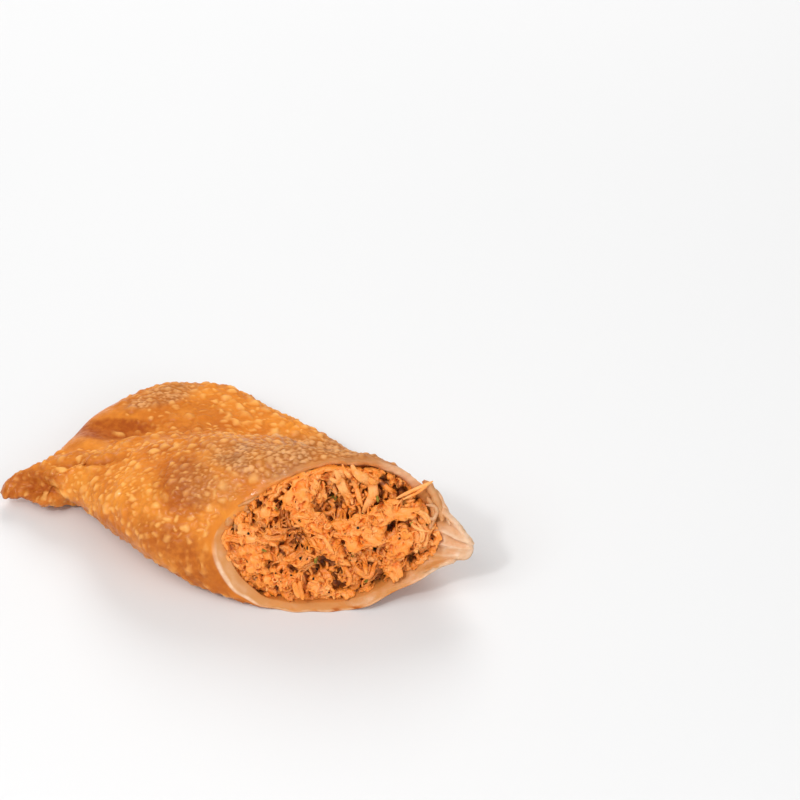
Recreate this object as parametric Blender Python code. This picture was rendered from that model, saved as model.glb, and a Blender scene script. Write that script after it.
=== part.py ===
"""Half of a fried chicken empanada, cut across, lying on its flat underside with the filling in view.

The pastry is one folded sheet: a rounded fold along the near left side, a puffed end between
the two back corners, a flat sealed edge along the far right side, and the cut mouth in front.
The near back corner runs out into a pinched tail. Shredded chicken fills the pocket.

The surfaces are laid out by two shares: across, from the fold (0) to the sealed edge (1), and
back, from the cut mouth (0) to the puffed end (1). Metres, +Z up, +Y away from the cut.
"""

import math
import random

import bmesh
import bpy
import numpy as np
from mathutils import Vector, noise

# Outlines on the table, before the part is moved to its origin: x from the tip of the tail,
# y from the lowest point of the cut.
FOLD_EDGE = (
    (0.0653, 0.0095),
    (0.0500, 0.0110),
    (0.0350, 0.0230),
    (0.0250, 0.0365),
    (0.0202, 0.0412),
    (0.0152, 0.0402),
    (0.0098, 0.0434),
    (0.0058, 0.0464),
    (0.0026, 0.0458),
    (0.0010, 0.0480),
)
PUFFED_EDGE = (
    (0.0010, 0.0480),
    (0.0020, 0.0510),
    (0.0055, 0.0532),
    (0.0110, 0.0546),
    (0.0145, 0.0572),
    (0.0180, 0.0640),
    (0.0265, 0.0792),
    (0.0385, 0.0893),
    (0.0530, 0.0932),
    (0.0680, 0.0910),
)
SEALED_EDGE = ((0.1382, 0.0085), (0.1220, 0.0360), (0.0980, 0.0650), (0.0680, 0.0910))
ORIGIN_SHIFT = (-0.0696, -0.0466, 0.0)
CUT_WIDTH = SEALED_EDGE[0][0] - FOLD_EDGE[0][0]

# Heights of the two seams and the ridge, and the ridge's place and width across, each at
# shares of the way back.
FOLD_HEIGHT = ((0.0, 0.0185), (0.3, 0.015), (0.7, 0.009), (0.9, 0.005), (1.0, 0.004))
SEAL_HEIGHT = ((0.0, 0.0162), (0.3, 0.011), (0.7, 0.0065), (1.0, 0.006))
RIDGE_HEIGHT = (
    (0.0, 0.0390),
    (0.15, 0.0382),
    (0.3, 0.0357),
    (0.45, 0.0312),
    (0.6, 0.0248),
    (0.78, 0.0172),
    (0.9, 0.0115),
    (1.0, 0.008),
)
RIDGE_SHARE = ((0.0, 0.5), (0.3, 0.47), (0.45, 0.42), (0.6, 0.33), (0.78, 0.21), (1.0, 0.12))
RIDGE_REACH = ((0.0, 1.0), (0.45, 1.0), (0.6, 0.84), (0.75, 0.55), (0.9, 0.36), (1.0, 0.3))
FLANGE_HALF_THICKNESS = ((0.0, 0.0030), (0.15, 0.0019), (1.0, 0.0018))
FLANGE_FADE = 0.3
EDGE_ROUND_START = 0.965
END_HEIGHT = 0.0150
END_START = (0.3, 0.7)
END_FLATNESS = 4
END_ROUND_START = 0.86
SWELL_BLEND = 4

# How the sides fall off from the ridge, as the two powers of a curve: along the body, and how they
# change towards the open mouth.
FOLD_SIDE = (1.9, 0.54)
FOLD_SIDE_AT_MOUTH = (-0.3, 0.12)
SEAL_SIDE = (1.5, 1.2)
SEAL_SIDE_AT_MOUTH = (1.3, -0.1)
MOUTH_FADE = 0.3
FLAT_UNDERSIDE = (0.3, 0.52)
SEAL_DROP = 1.25

# The mouth leans back as it rises, and its lip wanders in two small waves, each with its length
# along X and up.
MOUTH_LEAN = 0.5
LEAN_FADE = 0.4
LIP_WANDER = 0.0003
WANDER_WAVES = ((0.0031, 0.0043), (0.0016, -0.0037))
WANDER_FADE = 0.12

# The crease between the ridge and the puffed end, and a dent beyond it.
CREASE = ((0.0200, 0.0530), (0.0330, 0.0500), (0.0480, 0.0500), (0.0700, 0.0520))
CREASE_WIDTH = 0.0042
CREASE_DEPTH = 0.0015
DENT = (0.0365, 0.0655)
DENT_RADII = (0.0125, 0.0055)
DENT_DEPTH = 0.0022
DIP_FADE = (0.002, 0.006)
LINE_STEPS = 40

# Pastry wall, and the room that keeps the filling clear of it: a gap all round, and at the lip a
# further share of the width beside the fold.
WALL = 0.0018
FOLD_WALL_SHARE = 0.065
SEAL_WIDTH_SHARE = 0.115
POCKET_DEPTH = 0.86
POCKET_FLATNESS = 4.5
POCKET_ROUND_START = 0.7
POCKET_LEAST = 0.0002
FILLING_GAP = 0.0007
FILLING_FOLD_ROOM = 0.05
FOLD_ROOM_FADE = 0.3
SIDE_GAPS = 3.0
FRONT_GAPS = 1.4
FRONT_GAP_ACROSS = (0.1, 0.5)
FRONT_GAP_BACK = (0.3, 0.65)

# Relief of the fried skin: blisters and broad lumps, fading out at the ends and underneath.
BLISTER_SEED = 41
BLISTER_TRIES = 420
BLISTER_RADIUS = (0.0026, 0.0054)
BLISTER_HEIGHT_SHARE = 0.2
BLISTER_SPACING = 0.75
BLISTER_FALL = 1.5
LUMP_SIZE = 0.016
LUMP_HEIGHT = 0.0011
RELIEF_RINGS = 3
UNDERSIDE_NORMALS = (-0.95, -0.5)

# Filling: how far the middle of its face stands proud, and the pieces that show.
FILLING_SEED = 7
FACE_BULGE = 0.0055
FACE_RINGS = 5
FACE_REACH = (0.034, 0.022)
RIM_ROOM = 0.0022
SPOT_TRIES = 6
CRAG_SIZE = 0.006
CRAG_HEIGHT = 0.0016
CRAG_SINK = 0.35
LUMP_LENGTHS = (0.8, 1.35)
LUMP_WIDTHS = (0.6, 1.0)
LUMP_HEIGHTS = (0.6, 0.9)
LUMP_UNEVENNESS = 0.9
CHUNK_COUNT = 15
CHUNK_RADIUS = (0.0024, 0.0046)
CHUNK_SINK = 0.35
CHUNK_RAGGED = 0.55
SHRED_COUNT = 42
SHRED_LENGTH = (0.007, 0.019)
SHRED_WIDTH = (0.0015, 0.0031)
SHRED_THICKNESS_SHARE = 0.6
SHRED_LIFT = (0.1, 0.8)
SHRED_TURN = 0.55
SHRED_END_SHARE = 0.55
SHRED_START_ROOM = 0.0032
SHRED_SIDES = 5
SHRED_STEPS = 4
FLECK_COUNT = 14
FLECK_RADIUS = 0.0007
FLECK_RISE = 0.5

PASTRY_COLOUR = (0.70, 0.32, 0.075)
PASTRY_ROUGHNESS = 0.42
CHICKEN_COLOUR = (0.78, 0.27, 0.075)
CHICKEN_ROUGHNESS = 0.5

# Fineness of the skins. The pocket and the filling share the depths of their rings, so that the gap
# between them stays even. The filling runs from the second of them to the last but one.
ROUND_STEPS = 56
OUTER_RINGS = 42
POCKET_RINGS = (0.0, 0.055, 0.13, 0.23, 0.33, 0.43, 0.54, 0.67, 0.81, 0.93, 1.0)
WELD = 1e-6


def smooth(low, high, value):
    """0 below low, 1 above high, and a soft step between."""
    t = np.clip((value - low) / (high - low), 0.0, 1.0)
    return t * t * (3.0 - 2.0 * t)


def quarter_round(start, share):
    """1 up to the start, then falling to 0 at 1 in a quarter round."""
    return np.sqrt(1.0 - np.clip((share - start) / (1.0 - start), 0.0, 1.0) ** 2)


def read_off(table, share):
    """The value at a share, in a table of rows (share, value)."""
    shares, values = np.array(table).T
    return np.interp(share, shares, values)


def curve_through(points, share):
    """Points of the smooth curve through the given ones, at shares of its length."""
    points = np.array(points)
    steps = np.linalg.norm(np.diff(points, axis=0), axis=1)
    knots = np.concatenate([[0.0], np.cumsum(steps)]) / steps.sum()
    tangents = np.gradient(points, knots, axis=0)
    index = np.clip(np.searchsorted(knots, share, side="right") - 1, 0, len(steps) - 1)
    span = (knots[index + 1] - knots[index])[..., None]
    t = (share - knots[index])[..., None] / span
    return (
        (2 * t**3 - 3 * t**2 + 1) * points[index]
        + (t**3 - 2 * t**2 + t) * span * tangents[index]
        + (-2 * t**3 + 3 * t**2) * points[index + 1]
        + (t**3 - t**2) * span * tangents[index + 1]
    )


def on_table(across, back):
    """Place on the table of a point of the sheet: a patch stretched between the four outlines."""
    fold = curve_through(FOLD_EDGE, back)
    seal = curve_through(SEALED_EDGE, back)
    end = curve_through(PUFFED_EDGE, across)
    a, b = across[..., None], back[..., None]
    cut = (1 - a) * np.array(FOLD_EDGE[0]) + a * np.array(SEALED_EDGE[0])
    front_corners = (1 - b) * cut
    back_corners = b * ((1 - a) * np.array(PUFFED_EDGE[0]) + a * np.array(PUFFED_EDGE[-1]))
    return (1 - a) * fold + a * seal + (1 - b) * cut + b * end - front_corners - back_corners


def seam_height(across, back):
    return (1 - across) * read_off(FOLD_HEIGHT, back) + across * read_off(SEAL_HEIGHT, back)


def flange(across, back):
    """Half the thickness of the sealed pastry, fading at the fold and rounded at its free edge."""
    fade = smooth(0.0, FLANGE_FADE, across) * quarter_round(EDGE_ROUND_START, across)
    return read_off(FLANGE_HALF_THICKNESS, back) * fade


def end_rounding(back):
    """1 along the body, falling to 0 in a quarter round at the puffed end."""
    return quarter_round(END_ROUND_START, back)


def dips(across, back):
    """Depth of the crease and the dent in the upper side."""
    ground = on_table(across, back)
    line = curve_through(CREASE, np.linspace(0.0, 1.0, LINE_STEPS))
    away = np.linalg.norm(ground[..., None, :] - line, axis=-1).min(axis=-1)
    from_dent = np.linalg.norm((ground - np.array(DENT)) / np.array(DENT_RADII), axis=-1)
    return CREASE_DEPTH * np.exp(-((away / CREASE_WIDTH) ** 2)) + DENT_DEPTH * np.exp(-(from_dent**2))


def fall_off(away, curve, change, opened):
    """1 at the ridge, falling to 0 at a seam, along a curve that changes towards the mouth."""
    first, second = (power + opened * more for power, more in zip(curve, change))
    return (1.0 - away**first) ** second


def top_height(across, back):
    """Height of the upper side: the stuffed ridge, the puffed end and the sealed edge."""
    seam = seam_height(across, back)
    ridge = read_off(RIDGE_SHARE, back)
    reach = read_off(RIDGE_REACH, back)
    to_fold = np.clip((ridge - across) / ridge, 0.0, 1.0)
    to_seal = np.clip((across - ridge) / (reach - ridge), 0.0, 1.0)
    opened = 1.0 - smooth(0.0, MOUTH_FADE, back)
    fold_side = fall_off(to_fold, FOLD_SIDE, FOLD_SIDE_AT_MOUTH, opened)
    seal_side = fall_off(to_seal, SEAL_SIDE, SEAL_SIDE_AT_MOUTH, opened)
    stuffed = (read_off(RIDGE_HEIGHT, back) - seam) * np.where(across < ridge, fold_side, seal_side)
    pillow_edge = np.sqrt(np.clip(1.0 - np.abs(2.0 * across - 1.0) ** END_FLATNESS, 0.0, 1.0))
    pillow = (END_HEIGHT - seam) * pillow_edge * smooth(*END_START, back)
    layers = (stuffed, pillow, flange(across, back))
    swell = sum(layer**SWELL_BLEND for layer in layers) ** (1.0 / SWELL_BLEND)
    dipped = swell - dips(across, back) * smooth(*DIP_FADE, swell)
    return seam + np.maximum(dipped, flange(across, back)) * end_rounding(back)


def bottom_height(across, back):
    """Height of the underside: flat where it rests, and rising to the seams at the edges."""
    seam = seam_height(across, back)
    flat_from, flat_to = FLAT_UNDERSIDE
    to_fold = np.clip((flat_from - across) / flat_from, 0.0, 1.0)
    to_seal = np.clip((across - flat_to) / (1.0 - flat_to), 0.0, 1.0)
    drop = seam * np.where(across < flat_to, np.sqrt(1.0 - to_fold**2), 1.0 - to_seal**SEAL_DROP)
    return seam - np.maximum(drop, flange(across, back)) * end_rounding(back)


def place(across, back, height):
    """The point in space. At the mouth the pastry leans back as it rises, and its lip wanders."""
    ground = on_table(across, back)
    lean = MOUTH_LEAN * (1.0 - smooth(0.0, LEAN_FADE, back)) * (height - seam_height(across, back))
    waves = sum(np.sin(ground[..., 0] / along + height / upward) for along, upward in WANDER_WAVES)
    wander = LIP_WANDER * (1.0 - smooth(0.0, WANDER_FADE, back)) * waves
    x, y, z = ORIGIN_SHIFT
    return np.stack([ground[..., 0] + x, ground[..., 1] + lean + wander + y, height + z], axis=-1)


def turn_round():
    """Shares across for one turn round a section, over the top and back underneath."""
    angle = 2.0 * math.pi * np.arange(ROUND_STEPS + 1) / ROUND_STEPS
    return 0.5 - 0.5 * np.cos(angle), angle <= math.pi


def outer_section(back):
    """One turn round the pastry's outside."""
    across, on_top = turn_round()
    back = np.full_like(across, back)
    return place(across, back, np.where(on_top, top_height(across, back), bottom_height(across, back)))


def pocket_section(share, gap=0.0, fold_room=0.0):
    """One turn round the pocket at a share of its depth, drawn in all round by a gap.

    At the lip the fold side is drawn in by fold_room as well, a share of the width.
    """
    loop, on_top = turn_round()
    side_gap = SIDE_GAPS * gap / CUT_WIDTH
    low = FOLD_WALL_SHARE + side_gap + fold_room * (1.0 - smooth(0.0, FOLD_ROOM_FADE, share))
    high = 1.0 - SEAL_WIDTH_SHARE - side_gap
    across = low + (high - low) * loop
    back = np.full_like(across, POCKET_DEPTH * share)
    seam = seam_height(across, back)
    side_round = np.sqrt(1.0 - np.abs(2.0 * loop - 1.0) ** POCKET_FLATNESS)
    rounding = side_round * quarter_round(POCKET_ROUND_START, share)
    rise = np.maximum(top_height(across, back) - seam - WALL - gap, POCKET_LEAST)
    drop = np.maximum(seam - bottom_height(across, back) - WALL - gap, POCKET_LEAST)
    points = place(across, back, seam + np.where(on_top, rise, -drop) * rounding)
    # Near the cut the fold runs along X, so there the gap has to open along Y.
    in_front = (1.0 - smooth(*FRONT_GAP_ACROSS, loop)) * (1.0 - smooth(*FRONT_GAP_BACK, back))
    points[:, 1] += FRONT_GAPS * gap * in_front
    return points


def filling_section(share):
    return pocket_section(share, FILLING_GAP, FILLING_FOLD_ROOM)


def skin_of(rings, weights):
    """A closed skin over rings of points, as a bmesh whose vertices carry their ring's relief weight."""
    rows, columns = len(rings), len(rings[0])
    skin = bmesh.new()
    bmesh.ops.create_grid(skin, x_segments=columns - 1, y_segments=rows - 1, size=1.0)
    relief = skin.verts.layers.float.new("relief")
    skin.verts.ensure_lookup_table()
    for row in range(rows):
        for column in range(columns):
            vert = skin.verts[row * columns + column]
            vert.co = Vector(rings[row][column])
            vert[relief] = weights[row]
    bmesh.ops.remove_doubles(skin, verts=skin.verts, dist=WELD)
    bmesh.ops.dissolve_degenerate(skin, edges=skin.edges, dist=WELD)
    bmesh.ops.recalc_face_normals(skin, faces=skin.faces)
    skin.normal_update()
    return skin


def as_mesh(skin, name):
    data = bpy.data.meshes.new(name)
    skin.to_mesh(data)
    skin.free()
    return data


def choose_blisters(spots, rng):
    """Blisters as (centre, radius), spread over the skin with little overlap."""
    blisters = []
    for _ in range(BLISTER_TRIES):
        radius = rng.uniform(*BLISTER_RADIUS)
        centre = rng.choice(spots)
        if all((centre - other).length > BLISTER_SPACING * (radius + size) for other, size in blisters):
            blisters.append((centre, radius))
    return blisters


def blister_height(point, blisters):
    """Height of the highest blister over a point: a dome with a soft foot."""
    height = 0.0
    for centre, radius in blisters:
        away = (point - centre).length / radius
        if away < 1.0:
            height = max(height, BLISTER_HEIGHT_SHARE * radius * (1.0 - away**2) ** BLISTER_FALL)
    return height


def build_pastry():
    """The sheet as one cup-shaped skin: outside from the puffed end to the lip, then the pocket."""
    outside = [outer_section(1.0 - ring / OUTER_RINGS) for ring in range(OUTER_RINGS + 1)]
    inside = [pocket_section(share) for share in POCKET_RINGS]
    fade_in = [min(1.0, ring / RELIEF_RINGS, (OUTER_RINGS - ring) / RELIEF_RINGS) for ring in range(OUTER_RINGS + 1)]
    skin = skin_of(outside + inside, fade_in + [0.0] * len(inside))
    relief = skin.verts.layers.float["relief"]
    spots = [vert.co.copy() for vert in skin.verts if vert[relief] == 1.0]
    blisters = choose_blisters(spots, random.Random(BLISTER_SEED))
    moves = []
    for vert in skin.verts:
        off_the_table = float(smooth(*UNDERSIDE_NORMALS, vert.normal.z))
        lump = LUMP_HEIGHT * noise.noise(vert.co / LUMP_SIZE)
        raised = vert[relief] * off_the_table * (lump + blister_height(vert.co, blisters))
        moves.append(vert.normal * raised)
    for vert, move in zip(skin.verts, moves):
        vert.co += move
        vert.co.z = max(vert.co.z, 0.0)
    return as_mesh(skin, "pastry")


class FillingFace:
    """The cut face of the filling, with flat coordinates of its own: right and up from its middle."""

    def __init__(self):
        self.rim = filling_section(POCKET_RINGS[1])
        self.middle = self.rim[:-1].mean(axis=0)
        self.right = np.array([1.0, 0.0, 0.0])
        self.up = np.array([0.0, MOUTH_LEAN, 1.0]) / math.hypot(MOUTH_LEAN, 1.0)
        self.out = np.cross(self.right, self.up)
        flat = (self.rim[:-1] - self.middle) @ np.stack([self.right, self.up]).T
        angles = np.arctan2(flat[:, 1], flat[:, 0])
        order = np.argsort(angles)
        self.angles, self.radii = angles[order], np.linalg.norm(flat, axis=1)[order]
        self.taken = []

    def rim_radius(self, right, up):
        return np.interp(math.atan2(up, right), self.angles, self.radii, period=2.0 * math.pi)

    def room(self, right, up):
        """How far the rim is from a place on the face, straight out from the middle."""
        return self.rim_radius(right, up) - math.hypot(right, up)

    def point(self, right, up, lift):
        """The point above the bulging face."""
        share = min(1.0, math.hypot(right, up) / self.rim_radius(right, up))
        bulge = FACE_BULGE * (1.0 - share**3)
        return self.middle + right * self.right + up * self.up + (bulge + lift) * self.out

    def random_spot(self, rng, least_room):
        """A place on the face with the given room to the rim."""
        while True:
            right, up = (rng.uniform(-reach, reach) for reach in FACE_REACH)
            if self.room(right, up) > least_room:
                return right, up

    def fresh_spot(self, rng, least_room):
        """Of a few such places, the one furthest from those taken before."""
        tries = [self.random_spot(rng, least_room) for _ in range(SPOT_TRIES)]
        best = max(tries, key=lambda spot: min((math.dist(spot, other) for other in self.taken), default=0.0))
        self.taken.append(best)
        return best


def build_core(face):
    """The filling's body: it runs to the back of the pocket, and its craggy face bulges at the cut."""
    rings = [filling_section(share) for share in reversed(POCKET_RINGS[1:-1])]
    rings.insert(0, 0.5 * (rings[0] + rings[0][::-1]))
    weights = [0.0] * len(rings)
    for ring in range(1, FACE_RINGS + 1):
        share = 1.0 - ring / FACE_RINGS
        rings.append(face.middle + share * (face.rim - face.middle) + FACE_BULGE * (1.0 - share**3) * face.out)
        weights.append(1.0)
    core = skin_of(rings, weights)
    relief = core.verts.layers.float["relief"]
    for vert in core.verts:
        crag = noise.noise(vert.co / CRAG_SIZE) - CRAG_SINK
        vert.co += Vector(face.out) * vert[relief] * CRAG_HEIGHT * crag
    return as_mesh(core, "chicken_filling")


def build_shred(face, rng):
    """A curved strip of meat lying on the face. It stops short of the pastry."""
    right, up = face.fresh_spot(rng, SHRED_START_ROOM)
    heading = rng.uniform(0.0, 2.0 * math.pi)
    turn = rng.uniform(-SHRED_TURN, SHRED_TURN)
    width = rng.uniform(*SHRED_WIDTH)
    thickness = width * SHRED_THICKNESS_SHARE
    step = rng.uniform(*SHRED_LENGTH) / SHRED_STEPS
    lift = rng.uniform(*SHRED_LIFT) * thickness
    rings = []
    for number in range(SHRED_STEPS + 1):
        if face.room(right, up) < RIM_ROOM:
            break
        arch = math.sin(math.pi * (number + 0.5) / (SHRED_STEPS + 1))
        centre = face.point(right, up, lift * arch)
        sideways = -math.sin(heading) * face.right + math.cos(heading) * face.up
        taper = SHRED_END_SHARE + (1.0 - SHRED_END_SHARE) * arch
        ring = []
        for side in range(SHRED_SIDES + 1):
            angle = 2.0 * math.pi * side / SHRED_SIDES
            round_it = width * math.cos(angle) * sideways + thickness * math.sin(angle) * face.out
            ring.append(centre + 0.5 * taper * round_it)
        rings.append(np.array(ring))
        right += step * math.cos(heading)
        up += step * math.sin(heading)
        heading += turn
    if len(rings) < 3:
        return None
    start, end = (np.repeat(ring[:-1].mean(axis=0)[None], SHRED_SIDES + 1, axis=0) for ring in (rings[0], rings[-1]))
    return as_mesh(skin_of([start, *rings, end], [0.0] * (len(rings) + 2)), "shred")


def build_lump(face, rng, radius, fineness, sink, ragged):
    """A chunk or a fleck on the face, from a coarse ball made uneven."""
    ball = bmesh.new()
    bmesh.ops.create_icosphere(ball, subdivisions=fineness, radius=radius)
    stretch = Vector([rng.uniform(*sizes) for sizes in (LUMP_LENGTHS, LUMP_WIDTHS, LUMP_HEIGHTS)])
    offset = Vector((rng.uniform(0.0, 50.0), 0.0, 0.0))
    turn = Vector((0.0, 0.0, 1.0)).rotation_difference(Vector(face.out)).to_matrix()
    spot = face.fresh_spot(rng, RIM_ROOM + 1.2 * radius)
    centre = Vector(face.point(*spot, -sink * radius))
    for vert in ball.verts:
        uneven = 1.0 + ragged * noise.noise(vert.co / radius * LUMP_UNEVENNESS + offset)
        vert.co = turn @ (vert.co * uneven * stretch) + centre
    return as_mesh(ball, "lump")


def material(name, colour, roughness):
    """A plain shader in the photographed colour."""
    made = bpy.data.materials.new(name)
    made.use_nodes = True
    shader = made.node_tree.nodes["Principled BSDF"]
    shader.inputs["Base Color"].default_value = (*colour, 1.0)
    shader.inputs["Roughness"].default_value = roughness
    shader.inputs["Metallic"].default_value = 0.0
    return made


def add_object(name, data, collection):
    piece = bpy.data.objects.new(name, data)
    collection.objects.link(piece)
    return piece


def drop_scraps(data):
    """Leaves only the largest body of a mesh: no loose scrap, and no hollow sealed inside."""
    skin = bmesh.new()
    skin.from_mesh(data)
    bodies = []
    unseen = set(skin.verts)
    while unseen:
        body, front = set(), {unseen.pop()}
        while front:
            body |= front
            front = {edge.other_vert(vert) for vert in front for edge in vert.link_edges} - body
        unseen -= body
        bodies.append(body)
    bodies.sort(key=len)
    for body in bodies[:-1]:
        bmesh.ops.delete(skin, geom=list(body), context="VERTS")
    skin.to_mesh(data)
    skin.free()


def fuse(core, pieces):
    """Joins every piece of a collection to the core as one solid, then removes the pieces."""
    join = core.modifiers.new("fuse_pieces", "BOOLEAN")
    join.operation = "UNION"
    join.operand_type = "COLLECTION"
    join.collection = pieces
    bpy.context.view_layer.update()
    joined = bpy.data.meshes.new_from_object(core.evaluated_get(bpy.context.evaluated_depsgraph_get()))
    core.modifiers.clear()
    drop_scraps(joined)
    core.data = joined
    for piece in list(pieces.objects):
        bpy.data.objects.remove(piece)
    bpy.data.collections.remove(pieces)


def build_filling(parts):
    """The core with chunks, shreds and herb flecks fused on, all drawn from one seeded stream."""
    face = FillingFace()
    core = add_object("chicken_filling", build_core(face), parts)
    pieces = bpy.data.collections.new("filling_pieces")
    bpy.context.scene.collection.children.link(pieces)
    rng = random.Random(FILLING_SEED)
    for _ in range(CHUNK_COUNT):
        chunk = build_lump(face, rng, rng.uniform(*CHUNK_RADIUS), 2, CHUNK_SINK, CHUNK_RAGGED)
        add_object("chunk", chunk, pieces)
    for _ in range(SHRED_COUNT):
        shred = build_shred(face, rng)
        if shred:
            add_object("shred", shred, pieces)
    for _ in range(FLECK_COUNT):
        add_object("fleck", build_lump(face, rng, FLECK_RADIUS, 1, -FLECK_RISE, 0.0), pieces)
    fuse(core, pieces)
    return core


def main():
    for old in list(bpy.data.objects):
        bpy.data.objects.remove(old)
    parts = bpy.data.collections.new("chicken_empanada_half")
    bpy.context.scene.collection.children.link(parts)
    pastry = add_object("pastry", build_pastry(), parts)
    pastry.data.materials.append(material("fried_pastry", PASTRY_COLOUR, PASTRY_ROUGHNESS))
    filling = build_filling(parts)
    filling.data.materials.append(material("sauced_chicken", CHICKEN_COLOUR, CHICKEN_ROUGHNESS))


if __name__ == "__main__":
    main()
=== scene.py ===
"""Half of a fried chicken empanada: the looks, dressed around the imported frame.

The fine pastry skin and the filling's core are laid out by the same shares as the solids:
across, from the fold (0) to the sealed edge (1), and back, from the cut mouth (0) to the
puffed end (1). Metres, +Z up, +Y away from the cut.
"""

import functools
import itertools
import math
import random

import bmesh
import bpy
import numpy as np
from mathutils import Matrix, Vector, kdtree, noise


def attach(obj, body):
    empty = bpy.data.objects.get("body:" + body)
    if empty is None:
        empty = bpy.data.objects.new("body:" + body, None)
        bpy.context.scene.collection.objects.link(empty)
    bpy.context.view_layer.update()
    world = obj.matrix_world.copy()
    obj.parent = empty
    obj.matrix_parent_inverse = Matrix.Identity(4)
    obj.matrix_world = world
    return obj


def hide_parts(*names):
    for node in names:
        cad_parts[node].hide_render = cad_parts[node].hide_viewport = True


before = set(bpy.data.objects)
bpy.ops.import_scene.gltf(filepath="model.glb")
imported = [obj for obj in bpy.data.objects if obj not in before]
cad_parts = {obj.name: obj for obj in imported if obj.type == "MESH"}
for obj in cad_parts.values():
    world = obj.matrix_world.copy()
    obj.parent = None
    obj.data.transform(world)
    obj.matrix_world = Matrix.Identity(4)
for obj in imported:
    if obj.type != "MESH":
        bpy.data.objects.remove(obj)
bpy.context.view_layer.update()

bl_info = {
    "name": "Chicken Empanada Half",
    "version": (1, 0, 0),
    "blender": (4, 5, 0),
    "location": "3D View > Sidebar > Empanada",
    "description": "Dresses the cut half of a fried chicken empanada around its frame",
    "category": "Object",
}

MM = 0.001

# The camera: the photograph's width in pixels, its pixels per metre at the part, the camera's
# height angle and distance, and the pixel that the tail's tip and the cut's lowest point share.
PHOTO_SIDE = 800
PIXELS_PER_METRE = 3400.0
CAMERA_HEIGHT_ANGLE = math.radians(38.0)
CAMERA_DISTANCE = 1.0
CORNER_ROW = 603.0
AIM_HEIGHT = 0.02

# The full share of a patch's radius, the noise's octaves, and the least length to divide by.
PATCH_CORE = 0.45
OCTAVE_ROUGHNESS = 0.8
OCTAVE_SPREAD = 2.1
TINY = 1e-12

# Outlines on the table, before the part is moved to its origin: x from the tip of the tail,
# y from the lowest point of the cut.
FOLD_EDGE = (
    (0.0653, 0.0095),
    (0.0500, 0.0110),
    (0.0350, 0.0230),
    (0.0250, 0.0365),
    (0.0202, 0.0412),
    (0.0152, 0.0402),
    (0.0098, 0.0434),
    (0.0058, 0.0464),
    (0.0026, 0.0458),
    (0.0010, 0.0480),
)
PUFFED_EDGE = (
    (0.0010, 0.0480),
    (0.0020, 0.0510),
    (0.0055, 0.0532),
    (0.0110, 0.0546),
    (0.0145, 0.0572),
    (0.0180, 0.0640),
    (0.0265, 0.0792),
    (0.0385, 0.0893),
    (0.0530, 0.0932),
    (0.0680, 0.0910),
)
SEALED_EDGE = ((0.1382, 0.0085), (0.1220, 0.0360), (0.0980, 0.0650), (0.0680, 0.0910))
ORIGIN_SHIFT = (-0.0696, -0.0466, 0.0)
CUT_WIDTH = SEALED_EDGE[0][0] - FOLD_EDGE[0][0]

# Heights of the two seams and the ridge, and the ridge's place and width across, each at
# shares of the way back.
FOLD_HEIGHT = ((0.0, 0.0185), (0.3, 0.015), (0.7, 0.009), (0.9, 0.005), (1.0, 0.004))
SEAL_HEIGHT = ((0.0, 0.0162), (0.3, 0.011), (0.7, 0.0065), (1.0, 0.006))
RIDGE_HEIGHT = (
    (0.0, 0.0390),
    (0.15, 0.0382),
    (0.3, 0.0357),
    (0.45, 0.0312),
    (0.6, 0.0248),
    (0.78, 0.0172),
    (0.9, 0.0115),
    (1.0, 0.008),
)
RIDGE_SHARE = ((0.0, 0.5), (0.3, 0.47), (0.45, 0.42), (0.6, 0.33), (0.78, 0.21), (1.0, 0.12))
RIDGE_REACH = ((0.0, 1.0), (0.45, 1.0), (0.6, 0.84), (0.75, 0.55), (0.9, 0.36), (1.0, 0.3))
FLANGE_HALF_THICKNESS = ((0.0, 0.0030), (0.15, 0.0019), (1.0, 0.0018))
FLANGE_FADE = 0.3
EDGE_ROUND_START = 0.965
END_HEIGHT = 0.0150
END_START = (0.3, 0.7)
END_FLATNESS = 4
END_ROUND_START = 0.86
SWELL_BLEND = 4

# How the sides fall off from the ridge, as the two powers of a curve: along the body, and how they
# change towards the open mouth.
FOLD_SIDE = (1.9, 0.54)
FOLD_SIDE_AT_MOUTH = (-0.3, 0.12)
SEAL_SIDE = (1.5, 1.2)
SEAL_SIDE_AT_MOUTH = (1.3, -0.1)
MOUTH_FADE = 0.3
FLAT_UNDERSIDE = (0.3, 0.52)
SEAL_DROP = 1.25

# The mouth leans back as it rises, and its lip wanders in two small waves, each with its length
# along X and up.
MOUTH_LEAN = 0.5
LEAN_FADE = 0.4
LIP_WANDER = 0.0003
WANDER_WAVES = ((0.0031, 0.0043), (0.0016, -0.0037))
WANDER_FADE = 0.12

# The crease between the ridge and the puffed end, and a dent beyond it.
CREASE = ((0.0200, 0.0530), (0.0330, 0.0500), (0.0480, 0.0500), (0.0700, 0.0520))
CREASE_WIDTH = 0.0042
CREASE_DEPTH = 0.0015
DENT = (0.0365, 0.0655)
DENT_RADII = (0.0125, 0.0055)
DENT_DEPTH = 0.0022
DIP_FADE = (0.002, 0.006)
LINE_STEPS = 40

# Pastry wall, and the room that keeps the filling clear of it: a gap all round, and at the lip a
# further share of the width beside the fold.
WALL = 0.0018
FOLD_WALL_SHARE = 0.065
SEAL_WIDTH_SHARE = 0.115
POCKET_DEPTH = 0.86
POCKET_FLATNESS = 4.5
POCKET_ROUND_START = 0.7
POCKET_LEAST = 0.0002
FILLING_GAP = 0.0005
FILLING_FOLD_ROOM = 0.03
FOLD_ROOM_FADE = 0.3
SIDE_GAPS = 3.0
FRONT_GAPS = 1.4
FRONT_GAP_ACROSS = (0.1, 0.5)
FRONT_GAP_BACK = (0.3, 0.65)
FILLING_START = 0.055
FILLING_END = 0.93
LUMP_SIZE = 0.016
LUMP_HEIGHT = 0.0011

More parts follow.
